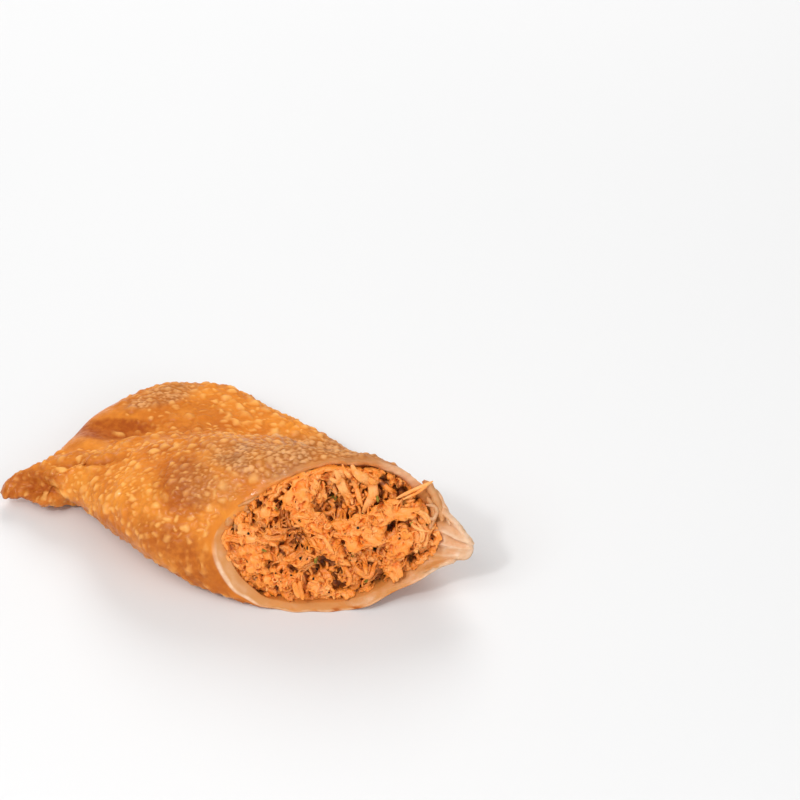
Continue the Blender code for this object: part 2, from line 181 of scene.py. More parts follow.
# Fineness of the fine skins: steps round a section over the top and underneath, and rows.
TOP_STEPS = 240
UNDER_STEPS = 80
SKIN_ROWS = 250
LIP_ROWS = 14
POCKET_ROWS = 18
DENSE_STEPS = 500
NEARLY_ONE = 0.99999
LIP_DEPTH = 0.02
CORE_BODY_ROWS = 14
CORE_FACE_ROWS = 46
LIP_ROUGHNESS = 0.00025
SKIN_LENGTH = 0.085
SWELL_NOISE = (0.006, 5.0)
SWELL_HEIGHT = 0.00045
OILY_DEPTH = 0.005
TAIL_HOLLOW_DEPTH = 0.0030
FLAP_HEIGHT = 0.0011
FLAP_GROOVE = 0.0006


# The solids' own layout.


def smooth(low, high, value):
    """0 below low, 1 above high, and a soft step between."""
    t = np.clip((value - low) / (high - low), 0.0, 1.0)
    return t * t * (3.0 - 2.0 * t)


def quarter_round(start, share):
    """1 up to the start, then falling to 0 at 1 in a quarter round."""
    return np.sqrt(1.0 - np.clip((share - start) / (1.0 - start), 0.0, 1.0) ** 2)


def read_off(table, share):
    """The value at a share, in a table of rows (share, value)."""
    shares, values = np.array(table).T
    return np.interp(share, shares, values)


def curve_through(points, share):
    """Points of the smooth curve through the given ones, at shares of its length."""
    points = np.array(points)
    steps = np.linalg.norm(np.diff(points, axis=0), axis=1)
    knots = np.concatenate([[0.0], np.cumsum(steps)]) / steps.sum()
    tangents = np.gradient(points, knots, axis=0)
    index = np.clip(np.searchsorted(knots, share, side="right") - 1, 0, len(steps) - 1)
    span = (knots[index + 1] - knots[index])[..., None]
    t = (share - knots[index])[..., None] / span
    return (
        (2 * t**3 - 3 * t**2 + 1) * points[index]
        + (t**3 - 2 * t**2 + t) * span * tangents[index]
        + (-2 * t**3 + 3 * t**2) * points[index + 1]
        + (t**3 - t**2) * span * tangents[index + 1]
    )


def on_table(across, back):
    """Place on the table of a point of the sheet: a patch stretched between the four outlines."""
    fold = curve_through(FOLD_EDGE, back)
    seal = curve_through(SEALED_EDGE, back)
    end = curve_through(PUFFED_EDGE, across)
    a, b = across[..., None], back[..., None]
    cut = (1 - a) * np.array(FOLD_EDGE[0]) + a * np.array(SEALED_EDGE[0])
    front_corners = (1 - b) * cut
    back_corners = b * ((1 - a) * np.array(PUFFED_EDGE[0]) + a * np.array(PUFFED_EDGE[-1]))
    return (1 - a) * fold + a * seal + (1 - b) * cut + b * end - front_corners - back_corners


def seam_height(across, back):
    return (1 - across) * read_off(FOLD_HEIGHT, back) + across * read_off(SEAL_HEIGHT, back)


def flange(across, back):
    """Half the thickness of the sealed pastry, fading at the fold and rounded at its free edge."""
    fade = smooth(0.0, FLANGE_FADE, across) * quarter_round(EDGE_ROUND_START, across)
    return read_off(FLANGE_HALF_THICKNESS, back) * fade


def end_rounding(back):
    """1 along the body, falling to 0 in a quarter round at the puffed end."""
    return quarter_round(END_ROUND_START, back)


def dips(across, back):
    """Depth of the crease and the dent in the upper side."""
    ground = on_table(across, back)
    line = curve_through(CREASE, np.linspace(0.0, 1.0, LINE_STEPS))
    away = np.linalg.norm(ground[..., None, :] - line, axis=-1).min(axis=-1)
    from_dent = np.linalg.norm((ground - np.array(DENT)) / np.array(DENT_RADII), axis=-1)
    return CREASE_DEPTH * np.exp(-((away / CREASE_WIDTH) ** 2)) + DENT_DEPTH * np.exp(-(from_dent**2))


def fall_off(away, curve, change, opened):
    """1 at the ridge, falling to 0 at a seam, along a curve that changes towards the mouth."""
    first, second = (power + opened * more for power, more in zip(curve, change))
    return (1.0 - away**first) ** second


def top_height(across, back):
    """Height of the upper side: the stuffed ridge, the puffed end and the sealed edge."""
    seam = seam_height(across, back)
    ridge = read_off(RIDGE_SHARE, back)
    reach = read_off(RIDGE_REACH, back)
    to_fold = np.clip((ridge - across) / ridge, 0.0, 1.0)
    to_seal = np.clip((across - ridge) / (reach - ridge), 0.0, 1.0)
    opened = 1.0 - smooth(0.0, MOUTH_FADE, back)
    fold_side = fall_off(to_fold, FOLD_SIDE, FOLD_SIDE_AT_MOUTH, opened)
    seal_side = fall_off(to_seal, SEAL_SIDE, SEAL_SIDE_AT_MOUTH, opened)
    stuffed = (read_off(RIDGE_HEIGHT, back) - seam) * np.where(across < ridge, fold_side, seal_side)
    pillow_edge = np.sqrt(np.clip(1.0 - np.abs(2.0 * across - 1.0) ** END_FLATNESS, 0.0, 1.0))
    pillow = (END_HEIGHT - seam) * pillow_edge * smooth(*END_START, back)
    layers = (stuffed, pillow, flange(across, back))
    swell = sum(layer**SWELL_BLEND for layer in layers) ** (1.0 / SWELL_BLEND)
    dipped = swell - dips(across, back) * smooth(*DIP_FADE, swell)
    return seam + np.maximum(dipped, flange(across, back)) * end_rounding(back)


def bottom_height(across, back):
    """Height of the underside: flat where it rests, and rising to the seams at the edges."""
    seam = seam_height(across, back)
    flat_from, flat_to = FLAT_UNDERSIDE
    to_fold = np.clip((flat_from - across) / flat_from, 0.0, 1.0)
    to_seal = np.clip((across - flat_to) / (1.0 - flat_to), 0.0, 1.0)
    drop = seam * np.where(across < flat_to, np.sqrt(1.0 - to_fold**2), 1.0 - to_seal**SEAL_DROP)
    return seam - np.maximum(drop, flange(across, back)) * end_rounding(back)


def place(across, back, height):
    """The point in space. At the mouth the pastry leans back as it rises, and its lip wanders."""
    ground = on_table(across, back)
    lean = MOUTH_LEAN * (1.0 - smooth(0.0, LEAN_FADE, back)) * (height - seam_height(across, back))
    waves = sum(np.sin(ground[..., 0] / along + height / upward) for along, upward in WANDER_WAVES)
    wander = LIP_WANDER * (1.0 - smooth(0.0, WANDER_FADE, back)) * waves
    x, y, z = ORIGIN_SHIFT
    return np.stack([ground[..., 0] + x, ground[..., 1] + lean + wander + y, height + z], axis=-1)


def outside(across, on_top, back):
    """Points of the pastry's outside, above or below the seam."""
    back = np.full_like(across, back)
    return place(across, back, top_height(across, back) if on_top else bottom_height(across, back))


def pocket(loop, on_top, share, gap=0.0, fold_room=0.0):
    """Points of the pocket's wall at a share of its depth, drawn in all round by a gap."""
    side_gap = SIDE_GAPS * gap / CUT_WIDTH
    low = FOLD_WALL_SHARE + side_gap + fold_room * (1.0 - smooth(0.0, FOLD_ROOM_FADE, share))
    high = 1.0 - SEAL_WIDTH_SHARE - side_gap
    across = low + (high - low) * loop
    back = np.full_like(across, POCKET_DEPTH * share)
    seam = seam_height(across, back)
    side_round = np.sqrt(np.clip(1.0 - np.abs(2.0 * loop - 1.0) ** POCKET_FLATNESS, 0.0, 1.0))
    rounding = side_round * quarter_round(POCKET_ROUND_START, share)
    if on_top:
        rise = np.maximum(top_height(across, back) - seam - WALL - gap, POCKET_LEAST)
    else:
        rise = -np.maximum(seam - bottom_height(across, back) - WALL - gap, POCKET_LEAST)
    points = place(across, back, seam + rise * rounding)
    in_front = (1.0 - smooth(*FRONT_GAP_ACROSS, loop)) * (1.0 - smooth(*FRONT_GAP_BACK, back))
    points[:, 1] += FRONT_GAPS * gap * in_front
    return points


def filling_wall(loop, on_top, share):
    return pocket(loop, on_top, share, FILLING_GAP, FILLING_FOLD_ROOM)


def even_shares(points, shares, count):
    """Shares that cut a dense row of points into pieces of one length."""
    steps = np.linalg.norm(np.diff(points, axis=0), axis=1)
    length = np.concatenate([[0.0], np.cumsum(steps)])
    return np.interp(np.linspace(0.0, length[-1], count + 1), length, shares)


def turn_round(surface, *depth):
    """One turn of evenly spaced points round a section, over the top and back underneath."""
    dense = 0.5 - 0.5 * np.cos(np.linspace(0.0, math.pi, DENSE_STEPS))
    turn = []
    for on_top, steps in ((True, TOP_STEPS), (False, UNDER_STEPS)):
        shares = even_shares(surface(dense, on_top, *depth), dense, steps)
        turn.append(surface(shares, on_top, *depth))
    return np.concatenate([turn[0], turn[1][-2:0:-1]])


# The camera's pixels.


def camera_axes():
    """The camera's right, up and backward directions."""
    lift = CAMERA_HEIGHT_ANGLE
    up = np.array([0.0, math.sin(lift), math.cos(lift)])
    backward = np.array([0.0, -math.cos(lift), math.sin(lift)])
    return np.array([1.0, 0.0, 0.0]), up, backward


def camera_place():
    """Where the camera stands, so that the part falls on the photograph's pixels."""
    lift = CAMERA_HEIGHT_ANGLE
    half = 0.5 * PHOTO_SIDE
    aim_right = half / PIXELS_PER_METRE
    aim_back = ((CORNER_ROW - half) / PIXELS_PER_METRE - AIM_HEIGHT * math.cos(lift)) / math.sin(lift)
    aim = np.array([aim_right, aim_back, AIM_HEIGHT]) + np.array(ORIGIN_SHIFT)
    return aim + CAMERA_DISTANCE * camera_axes()[2]


def photo_place(points):
    """Columns and rows of the photograph's pixels on which points fall."""
    right, up, backward = camera_axes()
    seen = np.asarray(points) - camera_place()
    depth = -(seen @ backward)
    focal = PIXELS_PER_METRE * CAMERA_DISTANCE
    half = 0.5 * PHOTO_SIDE
    return half + focal * (seen @ right) / depth, half - focal * (seen @ up) / depth


def patch(columns, rows, middle, radii, turn=0.0):
    """A soft oval patch of the photograph: 1 in its middle, 0 outside it."""
    cos, sin = math.cos(math.radians(turn)), math.sin(math.radians(turn))
    aside, down = columns - middle[0], rows - middle[1]
    along = (aside * cos + down * sin) / radii[0]
    athwart = (down * cos - aside * sin) / radii[1]
    return 1.0 - smooth(PATCH_CORE, 1.0, np.hypot(along, athwart))


# Meshes.


def noise_at(points, size, shift=0.0, octaves=1):
    """Soft noise, about -1 to 1, with features of the given size."""
    scaled = np.asarray(points) / size + shift
    if octaves == 1:
        return np.array([noise.noise(Vector(point)) for point in scaled])
    return np.array(
        [noise.fractal(Vector(point), OCTAVE_ROUGHNESS, OCTAVE_SPREAD, octaves) for point in scaled]
    )


def noise_vectors(points, size, shifts):
    """Soft noise of its own in each direction."""
    return np.column_stack([noise_at(points, size, shift) for shift in shifts])


def fading(span, value):
    """1 below a span of values, 0 above it, and a soft step between."""
    return 1.0 - smooth(*span, value)


def bell(middle, width, value):
    """1 at the middle, falling off to both sides."""
    return np.exp(-(((value - middle) / width) ** 2))


def unit(vectors):
    """Vectors brought to a length of 1."""
    return vectors / np.maximum(np.linalg.norm(vectors, axis=-1, keepdims=True), TINY)


def add_object(name, data):
    """A new object in the scene."""
    made = bpy.data.objects.new(name, data)
    bpy.context.scene.collection.objects.link(made)
    return made


def hand_over(piece):
    """Lets a piece ride on the root."""
    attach(piece, "root")


def make_mesh(name, points, faces, material, **values):
    """A smooth-shaded object, with one attribute for each list of values per point."""
    data = bpy.data.meshes.new(name)
    data.from_pydata([tuple(point) for point in points], [], faces)
    data.polygons.foreach_set("use_smooth", [True] * len(data.polygons))
    for title, numbers in values.items():
        layer = data.attributes.new(title, "FLOAT", "POINT")
        layer.data.foreach_set("value", np.asarray(numbers, dtype=np.float32))
    data.materials.append(material)
    data.update()
    return add_object(name, data)


def grid_faces(rows, columns):
    """Quads between rows of points, each row a closed turn."""
    start = np.arange(rows - 1)[:, None] * columns
    column = np.arange(columns)[None, :]
    following = (column + 1) % columns
    over = start + columns
    corners = (start + column, start + following, over + following, over + column)
    return np.stack([corner.ravel() for corner in corners], axis=-1).tolist()


def tube_faces(rows, columns):
    """Quads between rows of points, with a face across each end."""
    first = list(range(columns))
    last = [(rows - 1) * columns + corner for corner in reversed(first)]
    return grid_faces(rows, columns) + [first, last]


def closing_faces(start, outward):
    """Faces that close the thin slit where a turn has nearly flattened to a line."""
    share = TOP_STEPS // UNDER_STEPS
    turn = TOP_STEPS + UNDER_STEPS
    faces = []
    for step in range(UNDER_STEPS):
        over = [share * step + extra for extra in range(share + 1)]
        under = [(turn - step - extra) % turn for extra in (1, 0)]
        if step == 0:
            under = under[:1]
        if step == UNDER_STEPS - 1:
            under = under[1:]
        face = [start + corner for corner in over + under]
        faces.append(face if outward else face[::-1])
    return faces


def grid_normals(grid):
    """Outward normals of a grid of points whose rows are closed turns."""
    along = np.gradient(grid, axis=0)
    around = np.roll(grid, -1, axis=1) - np.roll(grid, 1, axis=1)
    return unit(np.cross(along, around))


class Batch:
    """Like pieces gathered into one mesh."""

    def __init__(self):
        self.points, self.faces, self.values, self.count = [], [], {}, 0

    def add(self, points, faces, **values):
        self.faces.extend([corner + self.count for corner in face] for face in faces)
        self.points.append(points)
        for title, number in values.items():
            self.values.setdefault(title, []).append(np.broadcast_to(number, len(points)))
        self.count += len(points)

    def make(self, name, material):
        values = {title: np.concatenate(lists) for title, lists in self.values.items()}
        return make_mesh(name, np.concatenate(self.points), self.faces, material, **values)


# Materials.


# The Mix node's sockets for colours, by number, as several of them share a name.
MIX_FACTOR = 0
MIX_COLOURS = (6, 7)
MIX_RESULT = 2


class Nodes:
    """Short ways to lay out the nodes of a material or a group."""

    def __init__(self, tree):
        self.tree = tree

    def add(self, kind, **settings):
        node = self.tree.nodes.new("ShaderNode" + kind)
        for title, value in settings.items():
            setattr(node, title, value)
        return node

    def link(self, source, target):
        self.tree.links.new(source, target)

    def feed(self, socket, value):
        """Links an output to a socket, or sets the socket to a number or a colour."""
        if hasattr(value, "is_linked"):
            self.link(value, socket)
        elif hasattr(value, "__len__"):
            socket.default_value = (*value, 1.0)
        else:
            socket.default_value = value

    def attribute(self, title):
        return self.add("Attribute", attribute_name=title).outputs["Fac"]

    def math(self, operation, first, second=0.0, clamp=False):
        node = self.add("Math", operation=operation, use_clamp=clamp)
        self.feed(node.inputs[0], first)
        self.feed(node.inputs[1], second)
        return node.outputs[0]

    def mix(self, factor, first, second):
        """The first colour, turning into the second as the factor goes to 1."""
        node = self.add("Mix", data_type="RGBA")
        self.feed(node.inputs[MIX_FACTOR], factor)
        self.feed(node.inputs[MIX_COLOURS[0]], first)
        self.feed(node.inputs[MIX_COLOURS[1]], second)
        return node.outputs[MIX_RESULT]

    def layers(self, colour, *layers):
        """A colour under layers of others, each with its mask."""
        for mask, other in layers:
            colour = self.mix(mask, colour, other)
        return colour

    def part(self, mask, share):
        """A share of a mask."""
        return self.math("MULTIPLY", mask, share, clamp=True)

    def span(self, value, low, high, least=0.0, most=1.0):
        """A value that goes from least to most as the given one goes from low to high."""
        node = self.add("MapRange")
        limits = {"From Min": low, "From Max": high, "To Min": least, "To Max": most}
        self.feed(node.inputs["Value"], value)
        for title, number in limits.items():
            self.feed(node.inputs[title], number)
        return node.outputs["Result"]

    def fill(self, node, **inputs):
        """Feeds a node's inputs by their names, and gives its first output."""
        for title, value in inputs.items():
            self.feed(node.inputs[title.title()], value)
        return node.outputs[0]

    def group(self, tree, **inputs):
        return self.fill(self.add("Group", node_tree=tree), **inputs)


def group_of(name, inputs, output, kind, lay_out):
    """The named group, laid out the first time that it is asked for."""
    tree = bpy.data.node_groups.get(name)
    if tree:
        return tree
    tree = bpy.data.node_groups.new(name, "ShaderNodeTree")
    for title, default in inputs.items():
        socket = tree.interface.new_socket(title, in_out="INPUT", socket_type="NodeSocketFloat")
        socket.default_value = default
    tree.interface.new_socket(output, in_out="OUTPUT", socket_type="NodeSocket" + kind)
    start = tree.nodes.new("NodeGroupInput")
    end = tree.nodes.new("NodeGroupOutput")
    lay_out(Nodes(tree), start.outputs, end.inputs)
    return tree


def mottling():
    """Soft uneven patches, as a mask."""

    def lay_out(nodes, given, wanted):
        spot = nodes.add("TexCoord").outputs["Object"]
        clouds = nodes.add("TexNoise")
        clouds = nodes.fill(clouds, vector=spot, scale=given["Scale"], detail=given["Detail"])
        nodes.link(nodes.span(clouds, given["Low"], given["High"]), wanted["Mask"])

    inputs = {"Scale": 100.0, "Detail": 3.0, "Low": 0.35, "High": 0.65}
    return group_of("mottling", inputs, "Mask", "Float", lay_out)


# Fine grain: its detail, and its pits' scale and depth as shares of its own.
GRAIN_DETAIL = 4.0
GRAIN_PIT_SCALE = 0.6
GRAIN_PIT_DEPTH = 0.5


def fine_grain():
    """Small unevenness of a surface, as a fine bump."""

    def lay_out(nodes, given, wanted):
        spot = nodes.add("TexCoord").outputs["Object"]
        grain = nodes.add("TexNoise")
        grain = nodes.fill(grain, vector=spot, scale=given["Scale"], detail=GRAIN_DETAIL)
        pits = nodes.add("TexVoronoi", feature="SMOOTH_F1")
        pit_scale = nodes.math("MULTIPLY", given["Scale"], GRAIN_PIT_SCALE)
        hollows = nodes.fill(pits, vector=spot, scale=pit_scale)
        height = nodes.math("ADD", grain, nodes.math("MULTIPLY", hollows, GRAIN_PIT_DEPTH))
        bump = nodes.add("Bump")
        bump = nodes.fill(bump, strength=given["Strength"], distance=given["Depth"], height=height)
        nodes.link(bump, wanted["Normal"])

    inputs = {"Scale": 900.0, "Strength": 0.5, "Depth": 0.0003}
    return group_of("fine grain", inputs, "Normal", "Vector", lay_out)


SUBSURFACE_RADIUS = (0.002, 0.0008, 0.0003)


def new_material(name, roughness, coat=0.0, coat_roughness=0.2, subsurface=0.0, specular=0.5):
    """A material with the constant values of its shader set; its colour comes from nodes."""
    made = bpy.data.materials.new(name)
    made.use_nodes = True
    shader = made.node_tree.nodes["Principled BSDF"].inputs
    constants = {
        "Roughness": roughness,
        "Coat Weight": coat,
        "Coat Roughness": coat_roughness,
        "Subsurface Weight": subsurface,
        "Subsurface Radius": SUBSURFACE_RADIUS,
        "Subsurface Scale": 1.0,
        "Specular IOR Level": specular,
    }
    for title, value in constants.items():
        shader[title].default_value = value
    return made, Nodes(made.node_tree), shader


# The skin: how much of each mask shows, and the spans over which bubbles turn pale or darker:
# pale tops that are partly painted highlight, and crevices that are partly painted shade.
FRECKLES = 0.3
CREVICE_BROWN_AND_SHADE = 0.42
PALE_TOPS_AND_HIGHLIGHT = 0.85
PALE_TOPS_AND_HIGHLIGHT_SPAN = (0.05, 0.75)
BROWN_BETWEEN_FRECKLES = 0.7
BROWN_ON_BUBBLES = (0.1, 0.8, 1.0, 0.4)
DRY_SPAN = (-0.4, 0.5)
DRY_FRECKLES = 0.25
DRY_BLOTS = 0.6
DOUGH_FRECKLES = 0.35
SKIN_ROUGHNESS = (0.36, 0.52)
SKIN_COAT = 0.25
DULL_COAT = 0.05
DULL_AT = 0.9


def pastry_material(tones):
    """Fried skin with pale bubble tops (partly painted highlight), dark crevices and patches (partly
    painted shade), the beige top, and the raw cut edge.
    """
    made, nodes, shader = new_material(
        "fried_pastry_skin", 0.42, SKIN_COAT, coat_roughness=0.13, subsurface=0.06, specular=0.15
    )
    broad = nodes.group(mottling(), scale=85.0, detail=4.0, low=0.38, high=0.64)
    small = nodes.group(mottling(), scale=520.0, detail=4.0, low=0.4, high=0.62)
    blots = nodes.group(mottling(), scale=240.0, detail=3.0, low=0.45, high=0.66)
    bubble = nodes.attribute("bubble")
    freckles = nodes.part(small, FRECKLES)
    # Browning, with painted shade in the dent, along the crease, in the tail's hollow and along the
    # flap's welt and groove.
    brown_and_shade = nodes.span(small, 0.0, 1.0, BROWN_BETWEEN_FRECKLES, 1.0)
    brown_and_shade = nodes.part(nodes.attribute("toasted_and_shade"), brown_and_shade)
    brown_and_shade = nodes.part(brown_and_shade, nodes.span(bubble, *BROWN_ON_BUBBLES))
    dry = nodes.layers(
        tones.beige_low,
        (nodes.span(bubble, *DRY_SPAN), tones.beige_top),
        (nodes.part(small, DRY_FRECKLES), tones.beige_low),
        (nodes.part(blots, DRY_BLOTS), tones.beige_low),
    )
    oily = nodes.math("MAXIMUM", freckles, nodes.attribute("oily"))
    wall = nodes.mix(oily, tones.inner_dough, tones.oily_dough)
    dough = nodes.mix(nodes.part(small, DOUGH_FRECKLES), tones.raw_dough, tones.inner_dough)
    skin = nodes.layers(
        tones.gold,
        (broad, tones.deep_gold),
        (freckles, tones.deep_gold),
        # Crevices darken as browning and painted shade; bubble tops turn pale as paler skin and
        # painted highlight.
        (nodes.part(nodes.span(bubble, 0.0, -1.0), CREVICE_BROWN_AND_SHADE), tones.crevice_brown_and_shade),
        (nodes.part(nodes.span(bubble, *PALE_TOPS_AND_HIGHLIGHT_SPAN), PALE_TOPS_AND_HIGHLIGHT), tones.bubble_top_and_highlight),
        (brown_and_shade, tones.toasted_and_shade),
        (nodes.attribute("beige"), dry),
        (nodes.attribute("inside"), wall),
        (nodes.attribute("raw"), dough),
    )
    nodes.link(skin, shader["Base Color"])
    nodes.link(nodes.span(small, 0.0, 1.0, *SKIN_ROUGHNESS), shader["Roughness"])
    dull = nodes.math("MAXIMUM", brown_and_shade, nodes.attribute("inside"))
    nodes.link(nodes.span(dull, 0.0, DULL_AT, SKIN_COAT, DULL_COAT), shader["Coat Weight"])
    grain = nodes.group(fine_grain(), scale=1300.0, strength=0.4, depth=0.00025)
    nodes.link(grain, shader["Normal"])
    return made


def dough_material(tones):
    """Soft unfried dough of the torn flaps, tanned where it is thin."""
    made, nodes, shader = new_material("torn_dough", 0.45, 0.05, coat_roughness=0.3, subsurface=0.15)
    small = nodes.group(mottling(), scale=420.0, detail=3.0)
    tanned = nodes.mix(small, tones.inner_dough, tones.oily_dough)
    pale = nodes.mix(nodes.part(small, FRECKLES), tones.raw_dough, tones.inner_dough)
    nodes.link(nodes.mix(nodes.attribute("tan"), pale, tanned), shader["Base Color"])
    grain = nodes.group(fine_grain(), scale=900.0, strength=0.3, depth=0.0003)
    nodes.link(grain, shader["Normal"])
    return made


# The meat: shares of its blots, and how its lift in the heap turns into shade and dulls it.
SAUCE_BLOTS = 0.3
PALE_BLOTS = 0.3
SHADE_BY_LIFT = (0.03, 0.27, 0.88, 0.0)
GLOSS_IN_SHADE = (0.1, 0.7)
MEAT_ROUGHNESS = (0.5, 0.34)
MEAT_COAT = 0.22
CORE_COAT = 0.1


def meat_material(name, tones, coat):
    """Shredded chicken in its sauce: brownish meat, orange to pale on top, and darkened with painted
    shade where it lies deep.
    """
    made, nodes, shader = new_material(
        name, 0.45, coat, coat_roughness=0.3, subsurface=0.12, specular=0.4
    )
    tint = nodes.attribute("tint")
    small = nodes.group(mottling(), scale=800.0, detail=3.0, low=0.38, high=0.64)
    broad = nodes.group(mottling(), scale=260.0, detail=2.0, low=0.5, high=0.7)
    shade = nodes.span(nodes.attribute("lift"), *SHADE_BY_LIFT)
    flesh = nodes.layers(
        tones.brown_meat,
        (nodes.span(tint, 0.0, 0.5), tones.orange_meat),
        (nodes.span(tint, 0.5, 1.0), tones.pale_meat),
        (nodes.part(small, SAUCE_BLOTS), tones.sauce),
        (nodes.part(broad, PALE_BLOTS), tones.pale_meat),
        # Painted shade where the meat lies deep in the heap.
        (shade, tones.gap_shade),
    )
    nodes.link(nodes.span(shade, *GLOSS_IN_SHADE, coat, 0.0), shader["Coat Weight"])
    nodes.link(flesh, shader["Base Color"])
    nodes.link(nodes.span(small, 0.0, 1.0, *MEAT_ROUGHNESS), shader["Roughness"])
    grain = nodes.group(fine_grain(), scale=1500.0, strength=0.6, depth=0.00035)
    nodes.link(grain, shader["Normal"])
    return made


def two_toned(name, tone, second_share, roughness, specular, **mottled):
    """A plain material in a tone and a darker share of it, mottled together."""
    made, nodes, shader = new_material(name, roughness, specular=specular)
    mask = nodes.group(mottling(), **mottled)
    second = tuple(second_share * part for part in tone)
    nodes.link(nodes.mix(mask, tone, second), shader["Base Color"])
    return made


# Settings.


def colour(name, description, default):
    return bpy.props.FloatVectorProperty(
        name=name,
        description=description,
        default=default,
        subtype="COLOR",
        size=3,
        min=0.0,
        max=1.0,
    )


def amount(name, description, default, **kind):
    return bpy.props.FloatProperty(
        name=name, description=description, default=default, min=0.0, **kind
    )


def size(name, description, default):
    return amount(name, description, default, subtype="DISTANCE", unit="LENGTH", precision=5)


def power(name, description, default):
    return amount(name, description, default, subtype="POWER", unit="POWER")


def count(name, description, default):
    return bpy.props.IntProperty(name=name, description=description, default=default, min=0)


class PastrySettings(bpy.types.PropertyGroup):
    bubble_tries: count("Bubble tries", "How many frying bubbles are tried on the skin", 19000)
    bubble_least: size("Smallest bubble", "Least radius of a bubble", 0.0006)
    bubble_most: size("Largest bubble", "Greatest radius of a bubble", 0.0020)
    grain_least: size("Smallest grain", "Least radius of a bubble on the dry upper patch", 0.0005)
    grain_most: size("Largest grain", "Greatest radius of a bubble there", 0.0014)
    bubble_height: amount("Bubble height", "Height of a bubble as a share of its radius", 0.48)
    ripple_height: size("Ripples", "Height of the skin's small ripples", 0.00022)
    lip_bulge: size("Lip bulge", "How far the cut edge stands out in its middle", 0.0004)
    gold: colour("Gold", "Fried skin", (0.83, 0.285, 0.030))
    deep_gold: colour("Deep gold", "Fried skin in its darker patches", (0.64, 0.18, 0.016))
    # Paler bubble tops, partly painted highlight.
    bubble_top_and_highlight: colour("Bubble tops", "Pale tops of the bubbles", (0.95, 0.47, 0.12))
    # Crevices, partly browning and partly painted shade.
    crevice_brown_and_shade: colour("Crevices", "Browned skin round the bubbles", (0.48, 0.115, 0.010))
    # Browning, and painted shade in the dent, along the crease, in the tail's hollow and along the
    # flap's welt and groove.
    toasted_and_shade: colour("Toasted", "Browned patches", (0.38, 0.078, 0.007))
    beige_top: colour("Beige tops", "Bubble tops of the dry upper patch", (0.77, 0.39, 0.16))
    beige_low: colour("Beige lows", "Skin between them", (0.38, 0.125, 0.027))
    raw_dough: colour("Cut dough", "The cut edge and the thick corner", (0.84, 0.57, 0.38))
    inner_dough: colour("Inner dough", "The pocket's wall", (0.62, 0.275, 0.09))
    oily_dough: colour("Oily dough", "The pocket's wall where sauce soaked in", (0.60, 0.21, 0.04))


class FillingSettings(bpy.types.PropertyGroup):
    core_bulge: size("Core bulge", "How far the core's middle stands out", 0.0015)
    heap_bulge: size("Heap bulge", "How far the heap of meat stands out in its middle", 0.0048)
    heap_edge: size("Heap edge", "How far the heap stands out beside the upper lip", 0.0037)
    crag_height: size("Crags", "Height of the core's crags", 0.0016)
    chunk_count: count("Chunks", "Scattered chunks of chicken", 95)
    rim_count: count("Rim chunks", "Small chunks packed all round against the pastry", 44)
    shred_count: count("Shreds", "Scattered shreds, each a bundle of fibres", 95)
    fibre_count: count("Fibres", "Thin single fibres", 140)
    crumb_count: count("Crumbs", "Small crumbs of meat", 320)
    brown_meat: colour("Brown meat", "Meat with little sauce", (0.72, 0.225, 0.036))
    orange_meat: colour("Orange meat", "Meat in its sauce", (0.99, 0.30, 0.028))
    pale_meat: colour("Pale meat", "Bare flesh", (0.98, 0.46, 0.14))
    sauce: colour("Sauce", "Patches of thicker sauce", (0.86, 0.20, 0.016))
    # Painted shade in the gaps between the pieces.
    gap_shade: colour("Deep sauce", "Juice in the gaps", (0.17, 0.032, 0.003))


class SeasoningSettings(bpy.types.PropertyGroup):
    pepper_count: count("Pepper", "Grains of ground pepper", 32)
    herb_count: count("Herbs", "Bits of green herb", 6)
    pepper: colour("Pepper", "Ground pepper", (0.012, 0.009, 0.007))
    herb: colour("Herb", "Chopped green herb", (0.34, 0.27, 0.03))


class StageSettings(bpy.types.PropertyGroup):
    floor_size: size("Floor size", "Side of the floor", 6.0)
    floor: colour("Floor", "Pale floor", (0.80, 0.80, 0.80))
    key_power: power("Key", "Main softbox", 4.2)
    fill_power: power("Fill", "Front fill", 3.7)
    back_power: power("Back", "Light on the floor behind", 8.5)
    glint_power: power("Glint", "Small light for the gloss", 1.5)
    world: amount("Room light", "Light from all round", 0.4)


def settings(name):
    """The scene's settings of one group."""
    return getattr(bpy.context.scene, "empanada_" + name)


# Pastry.

# Patches of the skin, by the photograph's pixels: middle, half width and height, turn, strength.
BEIGE_PATCHES = (
    ((262, 460), (80, 27), 6.0, 1.0),
    ((358, 462), (120, 24), 12.0, 1.0),
    ((162, 397), (50, 12), -14.0, 1.0),
    ((206, 482), (46, 34), 20.0, 0.45),
)
